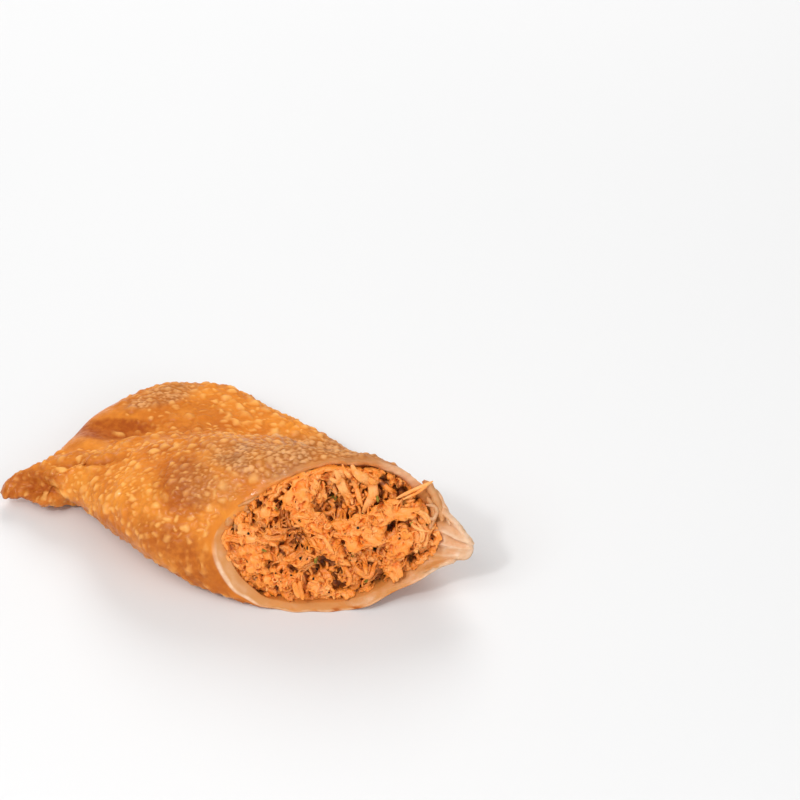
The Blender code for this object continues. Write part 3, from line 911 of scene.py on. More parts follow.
# Browning, partly painted shade: the dent at (112, 429) is darkened partly as painted shade, and the
# line at (190, 446) is painted shade along the crease.
BROWNED_AND_SHADED_PATCHES = (
    ((112, 429), (58, 15), -4.0, 1.4),
    ((78, 444), (20, 9), -30.0, 0.4),
    ((30, 486), (44, 24), -14.0, 0.95),
    ((184, 486), (40, 40), -25.0, 0.82),
    ((188, 470), (22, 30), -15.0, 0.55),
    ((168, 542), (58, 26), 28.0, 0.75),
    ((200, 568), (56, 24), 26.0, 0.8),
    ((144, 408), (56, 20), -14.0, 0.36),
    ((112, 528), (40, 9), 36.0, 0.6),
    ((345, 612), (44, 6), 0.0, 0.9),
    ((190, 446), (52, 8), -6.0, 0.45),
    ((222, 500), (18, 26), 20.0, 0.15),
    ((122, 418), (86, 46), -20.0, 0.26),
    ((180, 418), (70, 30), 10.0, 0.4),
)
SMOOTH_PATCHES = (
    ((112, 428), (50, 14), -4.0, 1.0),
    ((94, 428), (62, 40), -38.0, 1.0),
    ((228, 524), (20, 38), 12.0, 0.8),
    ((32, 488), (34, 18), -14.0, 0.7),
    ((158, 424), (78, 24), -6.0, 0.85),
    ((206, 420), (40, 18), 10.0, 0.85),
    ((262, 414), (86, 36), 24.0, 0.3),
)
RAW_PATCHES = (
    ((458, 536), (40, 44), 0.0, 1.0),
    ((242, 574), (44, 52), 0.0, 1.0),
    ((440, 566), (46, 26), -30.0, 1.0),
    ((330, 606), (110, 16), 0.0, 0.5),
)
CRISP_PATCHES = (
    ((350, 611), (56, 7), -2.0, 1.0),
    ((282, 606), (22, 8), 12.0, 0.45),
)
CORNER_PATCH = ((462, 540), (34, 34), 0.0)
GOLDEN_LIP = (
    ((237, 514), (26, 27), 0.0, 1.0),
    ((266, 490), (40, 20), -32.0, 0.9),
)
PALE_LIP = ((403, 474), (32, 15), 24.0)
CORNER_FOLDS = (
    (((430, 527), (446, 531), (460, 538), (470, 541)), 2.6, 0.0014),
    (((436, 541), (452, 546), (470, 548)), 2.4, 0.0014),
    (((430, 553), (446, 556), (466, 553)), 2.2, 0.0013),
    (((443, 511), (453, 521), (463, 532), (471, 543)), 2.4, 0.0015),
    (((424, 571), (440, 564), (458, 558), (468, 551)), 2.4, 0.0012),
    (((438, 522), (444, 536), (446, 550)), 2.2, 0.0010),
)
FOLD_MOST = 0.0015
TAIL_HOLLOW = ((40, 489), (30, 14), 18.0)
TAIL_SHADE = ((20, 488), (34, 22), -12.0)
BODY_EDGE = ((46, 470), (51, 479), (57, 488), (64, 497), (72, 508))
FLAP_LINE = ((42, 470), (52, 464), (66, 465), (78, 462), (92, 463), (106, 460), (134, 452))


# Points on the lines and folds that are looked up.
LINE_SPOTS = 60
FOLD_SPOTS = 24

# Bubbles, and grains, which are the small bubbles of the dry beige patches: the dark crevices
# round them, browning with painted shade, how they are bent, packed and drawn out, and how pale
# they turn, partly as painted highlight.
CREVICE_REACH = 1.4
CREVICE_FADE = (0.0, 0.25)
CREVICE_BREAK = (-0.15, 0.3)
CREVICE_NOISE = (0.0045, 41.0)
GRAIN_CREVICES = 0.8
BUBBLE_BEND = 0.0009
GRAIN_UNBENT = 0.45
BUBBLE_BEND_SIZE = 0.0019
BUBBLE_BEND_SHIFTS = (21.0, 33.0, 57.0)
BUBBLE_SIZE_POWER = 1.25
BUBBLE_PACKING = 0.85
GRAIN_PACKING = 0.72
BUBBLE_STRETCH = 0.9
GRAIN_STRETCH = 0.25
BUBBLE_PALENESS_POWER = 0.8
GRAIN_PALENESS = 0.2
DOME_POWER = 1.3

# Rows of the sheet: evenly spaced along a line at this share across, and closer near the lip.
SPACING_LINE = 0.4
POCKET_ROW_SPREAD = 1.3
LIP_NOISE_SIZE = 0.0013

# Where the skin bubbles: clear of the table, away from the lip, and more in some patches.
OFF_TABLE = (0.0012, 0.004)
OFF_TABLE_SHARE = 0.8
NOT_UNDERNEATH = (-0.93, -0.75)
BEIGE_FACING = (-0.3, 0.2)
BEIGE_OFF_SKIN = 0.3
BEIGE_MEAN = 0.8
BEIGE_UNEVEN = 0.5
BEIGE_NOISE = (0.006, 25.0)
BEIGE_CROWDED = (0.2, 0.6)
BEIGE_BUBBLES = 2.5
BUBBLES_FROM_LIP = (0.0015, 0.004)
BUBBLE_PATCH_LEAST = 0.55
BUBBLE_PATCH_NOISE = (0.011, 3.0)
BUBBLE_PATCH_START = -0.1

# Relief: swells and ripples, where they fade, and the flap's welt and groove, by pixels below
# its line.
RIPPLE_NOISE = (0.0016, 9.0, 3)
RIPPLE_LEAST = 0.35
RIPPLES_FROM_LIP = (0.0, 0.001)
CALM_RIPPLES = 0.7
RELIEF_FROM_LIP = (0.0, 0.003)
RELIEF_FROM_END = (0.0, 0.004)
HOLLOW_FACING = (-0.1, 0.3)
HOLLOW_UPWARD = 0.6
HOLLOW_EDGE = (-1.0, 2.5)
WELT = (-3.0, 4.5)
WELT_EDGE = (-1.0, 3.0)
GROOVE = (1.5, 2.0)
FLAP_END_POWER = 0.6
CREASE_FACING = (0.0, 0.4)

# Shares of browning on the skin, with painted shade in the tail's hollow and along the flap's
# welt and groove, and darker where it faces down.
BROWN_MEAN = 0.92
BROWN_UNEVEN = 0.35
BROWN_NOISE = (0.005, 2.0)
BROWN_SEEN = (-0.2, 0.2)
FACING_DOWN = (0.1, 0.9)
DARKER_UNDERNEATH = 0.55
HOLLOW_SHADE = 1.2
WELT_SHADE = 0.45
GROOVE_SHADE = 0.85
BROWN_TAIL = 0.75

# Colours of the cut lip: where they fade across it and away from it, and how streaky they are.
STREAK_NOISE = (0.0026, 15.0)
STREAK_STRETCH = (1.0, 0.6, 0.6)
STAIN_NOISE = (0.0042, 19.0)
STAIN_SPAN = (0.0, 0.4)
RAW_ACROSS = (0.1, 0.3)
RAW_STREAKS = 0.16
RAW_FROM_LIP = (0.0002, 0.0009)
# The thick corner's raw share follows its folds: painted light on their ridges and painted shade in
# their valleys.
CORNER_FROM_LIP = (0.006, 0.014)
CORNER_MEAN = 0.42
CORNER_FOLD_LIGHT = 0.55
CORNER_STREAKS = 0.2
LIP_ACROSS = (0.6, 1.0)
CRISP_STREAKS = 0.3
CRISP_BREAK = (-0.15, 0.15)
CRISP_SHIFT = 0.1
PALE_LIP_SHARE = 0.5
PALE_LIP_STREAKS = 0.2
PALE_FROM_LIP = (0.0, 0.002)
BAND_SHARE = 0.22
BAND_STREAKS = (-0.1, 0.35)
BAND_ACROSS = (0.4, 1.0)
INNER_ACROSS = (0.0, 0.2)
INNER_GOLDEN = 0.75
OILY_ACROSS = 0.3
OILY_STAINS = 0.5
OILY_STREAKS = 0.3
LIP_PALENESS = (0.05, 0.4)


def patches_at(columns, rows, patches):
    """The strongest of several patches at each place."""
    return np.max([strength * patch(columns, rows, *oval) for *oval, strength in patches], axis=0)


def left_of_line(columns, rows, line):
    """How many pixels left of a line that runs down the photograph each place lies."""
    spots = resample(line, LINE_SPOTS)
    return np.interp(rows, spots[:, 1], spots[:, 0]) - columns


def below_line(columns, rows, line):
    """How many pixels below a line each place lies, and how far along it, from 0 to 1."""
    spots = resample(line, LINE_SPOTS)
    order = np.argsort(spots[:, 0])
    height = np.interp(columns, spots[order, 0], spots[order, 1])
    along = np.clip((columns - line[0][0]) / (line[-1][0] - line[0][0]), 0.0, 1.0)
    return rows - height, along


def folds(columns, rows):
    """Height of the soft folds of dough in the thick corner."""
    height = np.zeros(columns.shape)
    for line, half_width, most in CORNER_FOLDS:
        spots = resample(line, FOLD_SPOTS)
        away = np.min([np.hypot(columns - column, rows - row) for column, row in spots], axis=0)
        height = np.maximum(height, most * bell(0.0, half_width, away))
    return height


class Bubble:
    """One frying bubble: a dome, drawn out in one direction."""

    def __init__(self, centre, radius, rng, is_grain):
        self.centre, self.radius = centre, radius
        self.direction = Vector([rng.gauss(0.0, 1.0) for _ in range(3)]).normalized()
        self.stretch = 1.0 + (GRAIN_STRETCH if is_grain else BUBBLE_STRETCH) * rng.random()
        if is_grain:
            self.pale_and_lit = GRAIN_PALENESS + (1.0 - GRAIN_PALENESS) * rng.random()
        else:
            self.pale_and_lit = rng.random() ** BUBBLE_PALENESS_POWER


def choose_bubbles(grid, eligible, crowded, wanted, rng):
    """Bubbles spread over the skin with little overlap."""
    spots = grid.reshape(-1, 3)
    chances = np.cumsum(eligible.ravel())
    crowding = crowded.ravel()
    cell = 2.0 * wanted.bubble_most
    large = (wanted.bubble_least, wanted.bubble_most, BUBBLE_PACKING)
    small = (wanted.grain_least, wanted.grain_most, GRAIN_PACKING)
    taken = {}
    chosen = []
    for _ in range(wanted.bubble_tries):
        index = int(np.searchsorted(chances, rng.random() * chances[-1]))
        centre = spots[index]
        is_grain = rng.random() < crowding[index]
        least, most, packing = small if is_grain else large
        radius = least + (most - least) * rng.random() ** BUBBLE_SIZE_POWER
        home = (centre // cell).astype(int)
        cells = itertools.product(*((way - 1, way, way + 1) for way in home))
        near = [other for cell_near in cells for other in taken.get(cell_near, ())]
        if all(np.linalg.norm(centre - other) > packing * (radius + wide) for other, wide in near):
            taken.setdefault(tuple(home), []).append((centre, radius))
            chosen.append(Bubble(centre, radius, rng, is_grain))
    return chosen


def bubble_relief(grid, bubbles, height, crowded):
    """Height of the bubbles at each point, and how pale they make it, partly as painted highlight:
    below 0 in the crevices, as browning and painted shade.
    """
    spots = grid.reshape(-1, 3)
    bend = noise_vectors(spots, BUBBLE_BEND_SIZE, BUBBLE_BEND_SHIFTS)
    torn = smooth(*CREVICE_BREAK, noise_at(spots, *CREVICE_NOISE))
    broken = np.maximum(torn, GRAIN_CREVICES * crowded.ravel())
    spots = spots + BUBBLE_BEND * (1.0 - GRAIN_UNBENT * crowded.reshape(-1, 1)) * bend
    tree = kdtree.KDTree(len(spots))
    for index, spot in enumerate(spots):
        tree.insert(spot, index)
    tree.balance()
    raised = np.zeros(len(spots))
    pale_and_lit = np.zeros(len(spots))
    crevice_brown_and_shade = np.zeros(len(spots))
    for bubble in bubbles:
        centre = Vector(bubble.centre)
        shorten = 1.0 - 1.0 / bubble.stretch**2
        reach = CREVICE_REACH * bubble.radius * bubble.stretch
        for spot, index, away in tree.find_range(centre, reach):
            along = bubble.direction.dot(spot - centre)
            way = (away**2 - shorten * along**2) / bubble.radius**2
            if way < 1.0:
                dome = (1.0 - way) ** DOME_POWER
                raised[index] = max(raised[index], height * bubble.radius * dome)
                pale_and_lit[index] = max(pale_and_lit[index], dome * bubble.pale_and_lit)
            rim = 1.0 - abs(math.sqrt(max(way, 0.0)) - 1.0) / (CREVICE_REACH - 1.0)
            crevice_brown_and_shade[index] = max(crevice_brown_and_shade[index], rim)
    crevice_brown_and_shade *= fading(CREVICE_FADE, pale_and_lit) * broken
    return raised.reshape(grid.shape[:2]), (pale_and_lit - crevice_brown_and_shade).reshape(grid.shape[:2])


class Sheet:
    """The pastry as one grid: rows from the puffed end over the cut lip into the pocket."""

    def __init__(self, lip_bulge):
        dense = np.linspace(0.0, 1.0, DENSE_STEPS)
        middle = np.full_like(dense, SPACING_LINE)
        ridge_line = place(middle, dense, top_height(middle, dense))
        backs = even_shares(ridge_line, dense, SKIN_ROWS)[::-1]
        backs[0] = NEARLY_ONE
        skin = np.array([turn_round(outside, back) for back in backs])
        spread = np.linspace(0.0, 1.0, POCKET_ROWS) ** POCKET_ROW_SPREAD
        depths = LIP_DEPTH + (NEARLY_ONE - LIP_DEPTH) * spread
        wall = np.array([turn_round(pocket, depth) for depth in depths])
        ways = np.arange(1, LIP_ROWS) / LIP_ROWS
        lip = skin[-1] + ways[:, None, None] * (wall[0] - skin[-1])
        lip[..., 1] -= (lip_bulge * np.sin(math.pi * ways))[:, None]
        rough = noise_at(lip.reshape(-1, 3), LIP_NOISE_SIZE).reshape(lip.shape[:2])
        lip[..., 1] += LIP_ROUGHNESS * rough * np.sin(math.pi * ways)[:, None]

        self.grid = np.concatenate([skin, lip, wall])
        self.shape = self.grid.shape[:2]
        self.flat = self.grid.reshape(-1, 3)
        self.normals = grid_normals(self.grid)
        self.columns, self.rows = photo_place(self.grid)
        back = np.concatenate([backs, np.zeros(len(lip) + len(wall))])[:, None]
        depth = np.concatenate([np.zeros(len(skin) + len(lip)), depths])[:, None]
        across = [np.zeros(len(skin)), ways, np.ones(len(wall))]
        self.on_skin = np.arange(len(self.grid))[:, None] < len(skin)
        self.across_lip = np.concatenate(across)[:, None]
        self.from_lip, self.from_end = SKIN_LENGTH * back, SKIN_LENGTH * (1.0 - back)
        self.into_pocket = SKIN_LENGTH * depth
        self.mark()

    def noise(self, size, shift=0.0, octaves=1, stretch=1.0):
        """Soft noise at every point of the grid."""
        return noise_at(self.flat * stretch, size, shift, octaves).reshape(self.shape)

    def patch(self, *oval):
        return patch(self.columns, self.rows, *oval)

    def patches(self, ovals):
        return patches_at(self.columns, self.rows, ovals)

    def mark(self):
        """Marks the upper side, the calm and beige patches, and the forms near tail and corner."""
        towards_cut, upwards = -self.normals[..., 1], self.normals[..., 2]
        off_table = OFF_TABLE_SHARE * smooth(*OFF_TABLE, self.grid[..., 2])
        self.upper = np.maximum(smooth(*NOT_UNDERNEATH, upwards), off_table) * self.on_skin
        near_lip = smooth(*RELIEF_FROM_LIP, self.from_lip)
        self.fade = self.upper * near_lip * smooth(*RELIEF_FROM_END, self.from_end)
        self.corner = self.patch(*CORNER_PATCH)
        self.calm = np.maximum(self.patches(SMOOTH_PATCHES), self.corner)
        facing = smooth(*BEIGE_FACING, upwards - BEIGE_OFF_SKIN * (1.0 - self.on_skin))
        uneven = BEIGE_MEAN + BEIGE_UNEVEN * self.noise(*BEIGE_NOISE)
        beige = self.patches(BEIGE_PATCHES) * facing * (1.0 - self.corner) * uneven
        self.beige = np.clip(beige, 0.0, 1.0)

        facing = self.upper * smooth(*HOLLOW_FACING, towards_cut + HOLLOW_UPWARD * upwards)
        left = left_of_line(self.columns, self.rows, BODY_EDGE)
        self.hollow = self.patch(*TAIL_HOLLOW) * smooth(*HOLLOW_EDGE, left) * facing
        below, along = below_line(self.columns, self.rows, FLAP_LINE)
        ends = np.sin(math.pi * along) ** FLAP_END_POWER * self.upper
        self.welt = bell(*WELT, below) * fading(WELT_EDGE, below) * ends
        self.groove = bell(*GROOVE, below) * ends
        self.creases = folds(self.columns, self.rows) * smooth(*CREASE_FACING, towards_cut)

    def bubbles(self, wanted):
        """Height of the frying bubbles, and how pale they make the skin, partly as painted highlight,
        with painted shade in the crevices.
        """
        dense = self.noise(*BUBBLE_PATCH_NOISE) > BUBBLE_PATCH_START
        patchy = BUBBLE_PATCH_LEAST + (1.0 - BUBBLE_PATCH_LEAST) * dense
        eligible = self.upper * smooth(*BUBBLES_FROM_LIP, self.from_lip) * (1.0 - self.calm)
        eligible = eligible * (patchy + BEIGE_BUBBLES * self.beige)
        crowded = smooth(*BEIGE_CROWDED, self.beige)
        chosen = choose_bubbles(self.grid, eligible, crowded, wanted, random.Random(11))
        return bubble_relief(self.grid, chosen, wanted.bubble_height, crowded)

    def raised(self, bubbles, ripple_height):
        """The grid's points with the relief on them, none of them under the table."""
        lumps = LUMP_HEIGHT * self.noise(LUMP_SIZE)
        swells = SWELL_HEIGHT * self.noise(*SWELL_NOISE)
        height = self.fade * (lumps + swells + bubbles)
        ripples = ripple_height * self.noise(*RIPPLE_NOISE) * (1.0 - CALM_RIPPLES * self.calm)
        ripples *= smooth(*RIPPLES_FROM_LIP, self.from_lip) * self.on_skin
        height += (RIPPLE_LEAST + (1.0 - RIPPLE_LEAST) * self.fade) * ripples
        height -= TAIL_HOLLOW_DEPTH * self.hollow
        height += FLAP_HEIGHT * self.welt - FLAP_GROOVE * self.groove
        height += self.creases
        points = self.grid + self.normals * height[..., None]
        points[..., 2] = np.maximum(points[..., 2], 0.0)
        return points.reshape(-1, 3)

    def browning_and_shade(self):
        """How dark the skin turns: browning and painted shade in its patches, darker where it faces
        down, painted shade in the tail's hollow and along the flap's welt and groove, and the tail's
        shade.
        """
        uneven = BROWN_MEAN + BROWN_UNEVEN * self.noise(*BROWN_NOISE)
        seen = smooth(*BROWN_SEEN, self.normals @ camera_axes()[2])
        shares = [
            self.patches(BROWNED_AND_SHADED_PATCHES) * uneven * seen,
            # Darker where the skin faces down.
            DARKER_UNDERNEATH * smooth(*FACING_DOWN, -self.normals[..., 2]),
            # Painted shade in the tail's hollow and along the flap's welt and groove.
            HOLLOW_SHADE * self.hollow,
            WELT_SHADE * self.welt,
            GROOVE_SHADE * self.groove,
            BROWN_TAIL * self.patch(*TAIL_SHADE),
        ]
        return np.clip(np.maximum.reduce(shares), 0.0, 1.0) * self.on_skin

    def shades(self, pale_and_lit):
        """Shares of each colour at every point, by the names that the material reads."""
        streaks = self.noise(*STREAK_NOISE, stretch=STREAK_STRETCH)
        stains = smooth(*STAIN_SPAN, self.noise(*STAIN_NOISE))
        across, from_lip = self.across_lip, self.from_lip
        crisp = self.patches(CRISP_PATCHES) * fading(LIP_ACROSS, across + CRISP_STREAKS * streaks)
        crisp *= smooth(*CRISP_BREAK, streaks + CRISP_SHIFT)
        golden = self.patches(GOLDEN_LIP)
        band = BAND_SHARE * smooth(*BAND_STREAKS, streaks) * fading(BAND_ACROSS, across)
        band = band * (1.0 - self.on_skin) * (1.0 - self.beige)
        edge = self.patches(RAW_PATCHES) * fading(RAW_ACROSS, across + RAW_STREAKS * streaks)
        edge *= fading(RAW_FROM_LIP, from_lip)
        near_corner = self.corner * fading(CORNER_FROM_LIP, from_lip)
        # Paler on the folds' ridges and darker in their valleys: painted light and shade.
        fold_light_and_shade = CORNER_MEAN + CORNER_FOLD_LIGHT * self.creases / FOLD_MOST
        fold_light_and_shade = np.clip(fold_light_and_shade + CORNER_STREAKS * streaks, 0.0, 1.0)
        pale = self.patch(*PALE_LIP) * fading(LIP_ACROSS, across + PALE_LIP_STREAKS * streaks)
        pale *= PALE_LIP_SHARE * fading(PALE_FROM_LIP, from_lip)
        raw = np.maximum.reduce([edge, band, near_corner * fold_light_and_shade, pale])
        inner = smooth(*INNER_ACROSS, across) * (1.0 - INNER_GOLDEN * golden * (across < 1.0))
        oily = OILY_ACROSS * across + smooth(0.0, OILY_DEPTH, self.into_pocket)
        oily = oily + OILY_STAINS * stains - OILY_STREAKS * streaks
        lip_paleness = LIP_PALENESS[0] + LIP_PALENESS[1] * streaks
        shares = {
            "bubble": np.where(self.on_skin, pale_and_lit * self.fade, lip_paleness),
            # Browning with painted shade, and the crisp lip.
            "toasted_and_shade": np.maximum(self.browning_and_shade(), crisp),
            "beige": self.beige,
            "raw": raw * (1.0 - crisp) * (1.0 - golden),
            "inside": np.maximum(inner, near_corner) * (1.0 - self.beige) * (1.0 - crisp),
            "oily": np.clip(oily, 0.0, 1.0),
        }
        return {name: np.broadcast_to(share, self.shape).ravel() for name, share in shares.items()}


class EMPANADA_OT_pastry(bpy.types.Operator):
    """Builds the fried pastry: its blistered outside, the cut lip and the pocket's wall"""

    bl_idname = "empanada.pastry"
    bl_label = "Fried pastry"

    def execute(self, context):
        wanted = settings("pastry")
        sheet = Sheet(wanted.lip_bulge)
        bubbles, pale_and_lit = sheet.bubbles(wanted)
        points = sheet.raised(bubbles, wanted.ripple_height)
        rows, turn = sheet.shape
        faces = grid_faces(rows, turn)
        faces += closing_faces(0, True)
        faces += closing_faces((rows - 1) * turn, False)
        material = pastry_material(wanted)
        piece = make_mesh("fried_pastry_skin", points, faces, material, **sheet.shades(pale_and_lit))
        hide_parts("pastry")
        hand_over(piece)
        return {"FINISHED"}


# Filling.

# The filling's face: the heap's direction, start and dome, how its rim widens towards the lip,
# and how spots on it are looked for.
HEAP_DIRECTION = (0.0, -0.96, 0.28)
HEAP_START = 0.0005
HEAP_POWER = 3
HEAP_ROOM = 0.0008
EDGE_RISE = (-0.02, 0.01)
RIM_LIFT = 0.002
MOST_SLANT = 1.6
INWARD_SLANT = 0.3
PHOTO_SPOT_ROUNDS = 4
SPOT_LIFT = 0.004
FRESH_SPOT_TRIES = 6

# Torn pits all over the face, by a bent noise, and the pits that stay open down to the core.
PIT_SIZE = 0.0019
PIT_SHIFT = 12.0
PIT_BEND_SIZE = 0.0024
PIT_BEND_SHIFTS = (31.0, 47.0, 5.0)
PIT_BEND = 0.0012
PIT_SPAN = (0.14, 0.36)
PIT_DEPTH = 0.0013
TORN_PIT_SHADE = 0.6
PIT_RIM = 2.5
PIT_SHADE = 0.93
OPEN_PIT_DEPTH = 0.0022
PIT_TEAR = 7.0
PIT_TEAR_SIZE = 0.0013
PIT_TEAR_SHIFTS = (3.0, 9.0)


class FillingFace:
    """The cut face of the filling, with flat coordinates of its own, and the heap on it."""

    CELL = 0.0004
    HALF = 0.034

    def __init__(self):
        wanted = settings("filling")
        self.bulge, self.edge = wanted.heap_bulge, wanted.heap_edge
        rim = turn_round(pocket, FILLING_START)
        lip = turn_round(pocket, LIP_DEPTH)
        self.middle = 0.5 * (rim.min(axis=0) + rim.max(axis=0))
        right = np.array([1.0, 0.0, 0.0])
        up = np.array([0.0, MOUTH_LEAN, 1.0]) / math.hypot(MOUTH_LEAN, 1.0)
        self.out = np.cross(right, up)
        self.forward = np.array(HEAP_DIRECTION)
        self.axes = np.stack([right, up, self.forward])
        self.rims = []
        for ring in (rim, lip):
            flat = self.places(ring)
            angles = np.arctan2(flat[:, 1], flat[:, 0])
            order = np.argsort(angles)
            radii = np.hypot(flat[:, 0], flat[:, 1])
            self.rims.append((angles[order], radii[order], flat[order, 2].mean()))
        side = np.arange(-self.HALF, self.HALF + self.CELL, self.CELL)
        rights, ups = np.meshgrid(side, side, indexing="ij")
        self.heap = wanted.core_bulge * self.dome(rights, ups) - HEAP_START
        self.taken = []

    def rim_radius(self, right, up, lift=RIM_LIFT):
        """How far the pocket's wall is from the middle, towards a place at a lift."""
        towards = np.arctan2(up, right)
        (angles, radii, low), (lip_angles, lip_radii, high) = self.rims
        deep = np.interp(towards, angles, radii, period=2.0 * math.pi)
        shallow = np.interp(towards, lip_angles, lip_radii, period=2.0 * math.pi)
        slant = (shallow - deep) * np.clip((lift - low) / (high - low), 0.0, MOST_SLANT)
        return deep + np.where(slant > 0.0, slant, INWARD_SLANT * slant)

    def dome(self, right, up):
        """1 in the middle of the face, falling to 0 at its rim."""
        share = np.minimum(1.0, np.hypot(right, up) / self.rim_radius(right, up))
        return 1.0 - share**HEAP_POWER

    def room(self, right, up):
        """How far the rim is from a place on the face, straight out from the middle."""
        return self.rim_radius(right, up) - np.hypot(right, up)

    def ceiling(self, right, up):
        """How high the heap may rise: less at the rim, and least at its lowest side."""
        return self.bulge * self.dome(right, up) + self.edge * smooth(*EDGE_RISE, np.asarray(up))

    def keep_in(self, flat, clearance):
        """Places (right, up, lift) drawn inside the rim by a clearance."""
        reach = np.hypot(flat[:, 0], flat[:, 1])
        most = self.rim_radius(flat[:, 0], flat[:, 1], flat[:, 2]) - clearance
        squeeze = np.minimum(1.0, most / np.maximum(reach, TINY))
        return np.stack([flat[:, 0] * squeeze, flat[:, 1] * squeeze, flat[:, 2]], axis=-1)

    def in_space(self, flat):
        """Points in space of places (right, up, lift)."""
        return self.middle + flat @ self.axes

    def places(self, points):
        """Places (right, up, lift) of points in space."""
        return (points - self.middle) @ np.linalg.inv(self.axes)

    def cells(self, rights, ups):
        """The heap's cells in which places lie."""
        last = self.heap.shape[0] - 1
        ways = (np.asarray(way) / self.CELL + 0.5 * last + 0.5 for way in (rights, ups))
        return tuple(np.clip(way.astype(int), 0, last) for way in ways)

    def level(self, rights, ups):
        """How high the heap is at places."""
        return self.heap[self.cells(rights, ups)]

    def cover(self, flat):
        """Raises the heap to the tops of a piece."""
        np.maximum.at(self.heap, self.cells(flat[:, 0], flat[:, 1]), flat[:, 2])

    def photo_spot(self, column, row, lift=SPOT_LIFT):
        """The place (right, up) at a lift that falls on a pixel of the photograph."""
        at = np.array([0.0, 0.0, lift])
        for _ in range(PHOTO_SPOT_ROUNDS):
            columns, rows = photo_place(self.in_space(at[None]))
            at[0] += (column - columns[0]) / PIXELS_PER_METRE
            at[1] -= (row - rows[0]) / PIXELS_PER_METRE
        return at[:2]

    def random_spot(self, rng, least_room):
        """A place with at least some room to the rim."""
        while True:
            right, up = (rng.uniform(-self.HALF, self.HALF) for _ in range(2))
            if self.room(right, up) > least_room:
                return right, up

    def fresh_spot(self, rng, least_room):
        """Of a few such places, the one furthest from those taken before."""
        tries = [self.random_spot(rng, least_room) for _ in range(FRESH_SPOT_TRIES)]
        best = max(tries, key=self.free_space)
        self.taken.append(best)
        return best

    def free_space(self, spot):
        """How far the nearest of the places taken before is from a spot."""
        return min((math.dist(spot, other) for other in self.taken), default=0.0)

    def lift_share(self, flat):
        """0 deep in the filling, 1 at the top of the heap."""
        room = self.ceiling(flat[:, 0], flat[:, 1]) + HEAP_ROOM
        return np.clip((flat[:, 2] + HEAP_START) / room, 0.0, 1.0)

    def pits(self, flat):
        """How deep torn pits go at places on the face, from 0 to 1: the same in all the pieces."""
        ground = np.column_stack([flat[:, :2], np.zeros(len(flat))])
        bend = noise_vectors(ground, PIT_BEND_SIZE, PIT_BEND_SHIFTS)
        return smooth(*PIT_SPAN, noise_at(ground + PIT_BEND * bend, PIT_SIZE, PIT_SHIFT))

    def shaded(self, flat):
        """The share of the height, darkened in the pits."""
        in_light = 1.0 - TORN_PIT_SHADE * self.pits(flat)
        return self.lift_share(flat) * in_light * out_of_pits(self.in_space(flat))


# Tones of the meat, by the photograph's pixels, as for the skin.
BROWN_MEAT = (
    ((270, 527), (34, 15), 4.0, 1.0),
    ((306, 552), (30, 13), 12.0, 0.9),
    ((360, 576), (24, 22), 0.0, 0.9),
    ((300, 592), (30, 12), 0.0, 0.6),
    ((402, 490), (16, 8), 0.0, 0.8),
)
PALE_MEAT = (
    ((424, 536), (18, 34), 0.0, 0.9),
    ((250, 533), (14, 9), 0.0, 0.6),
    ((340, 486), (22, 22), 0.0, 0.6),
    ((322, 592), (16, 10), 0.0, 1.0),
    ((306, 500), (26, 20), 0.0, 0.3),
    ((282, 590), (20, 8), 20.0, 0.7),
)


def open_pits(points):
    """1 in the pits that stay open, 0 outside them."""
    columns, rows = photo_place(points)
    aside, down = PIT_TEAR * noise_vectors(points, PIT_TEAR_SIZE, PIT_TEAR_SHIFTS).T
    pits = [(spot, (radius + PIT_RIM, radius + PIT_RIM)) for spot, radius in PITS + SMALL_PITS]
    return np.max([patch(columns + aside, rows + down, *pit) for pit in pits], axis=0)


def out_of_pits(points):
    """1 outside the pits that stay open, and nearly 0 in them."""
    return 1.0 - PIT_SHADE * open_pits(points)


@functools.cache
def filling_face():
    """The one filling face that all the operators share."""
    return FillingFace()


@functools.cache
def ball(fineness):
    """Points and faces of a unit ball."""
    shape = bmesh.new()
    bmesh.ops.create_icosphere(shape, subdivisions=fineness, radius=1.0)
    points = np.array([vert.co[:] for vert in shape.verts])
    faces = [[vert.index for vert in face.verts] for face in shape.faces]
    shape.free()
    return points, faces


def turned(points, heading, tilt_along, tilt_across):
    """Points turned in the face's plane by a heading, after two tilts out of it."""
    x, y, z = points.T
    cos, sin = math.cos(tilt_along), math.sin(tilt_along)
    x, z = cos * x - sin * z, sin * x + cos * z
    cos, sin = math.cos(tilt_across), math.sin(tilt_across)
    y, z = cos * y - sin * z, sin * y + cos * z
    cos, sin = math.cos(heading), math.sin(heading)
    return np.stack([cos * x - sin * y, sin * x + cos * y, z], axis=-1)


# Noise in a chunk's form: strength, feature size, shift, and how its grain stretches it.
EVEN = (1.0, 1.0, 1.0)
CHUNK_LAYERS = (
    (0.62, 0.85, 0.0, EVEN),
    (0.32, 0.4, 7.0, EVEN),
    (0.1, 1.0, 3.0, (0.6, 3.0, 3.0)),
    (0.05, 1.0, 5.0, (1.2, 7.0, 7.0)),
)
FINE_LAYERS = {
    4: ((0.14, 0.2, 17.0, EVEN),),
    5: ((0.09, 0.2, 17.0, EVEN), (0.03, 0.09, 23.0, (0.35, 1.0, 1.0))),
}
CHUNK_SHIFTS = (0.0, 90.0)
FRAYED_LAYER = (0.22, 1.0, 11.0, (0.2, 3.0, 3.0))
FRAYED_ENDS = (0.3, 1.0)
CHUNK_BEND = 0.35

# Tint of the meat: how much the places in the photograph and the blots shift it.
PALE_SHIFT = 0.22
BROWN_SHIFT = 0.3
TINT_LAYERS = ((0.3, 0.0016, 3.0, EVEN), (0.18, 0.0006, 6.0, EVEN))

# How a piece rests: its room to the pastry, how much of its top stays under the ceiling, and the
# percentile of the gap under it that closes.
CLEARANCE = 0.0004
UNDER_CEILING = 0.8
RESTING_PERCENTILE = 60


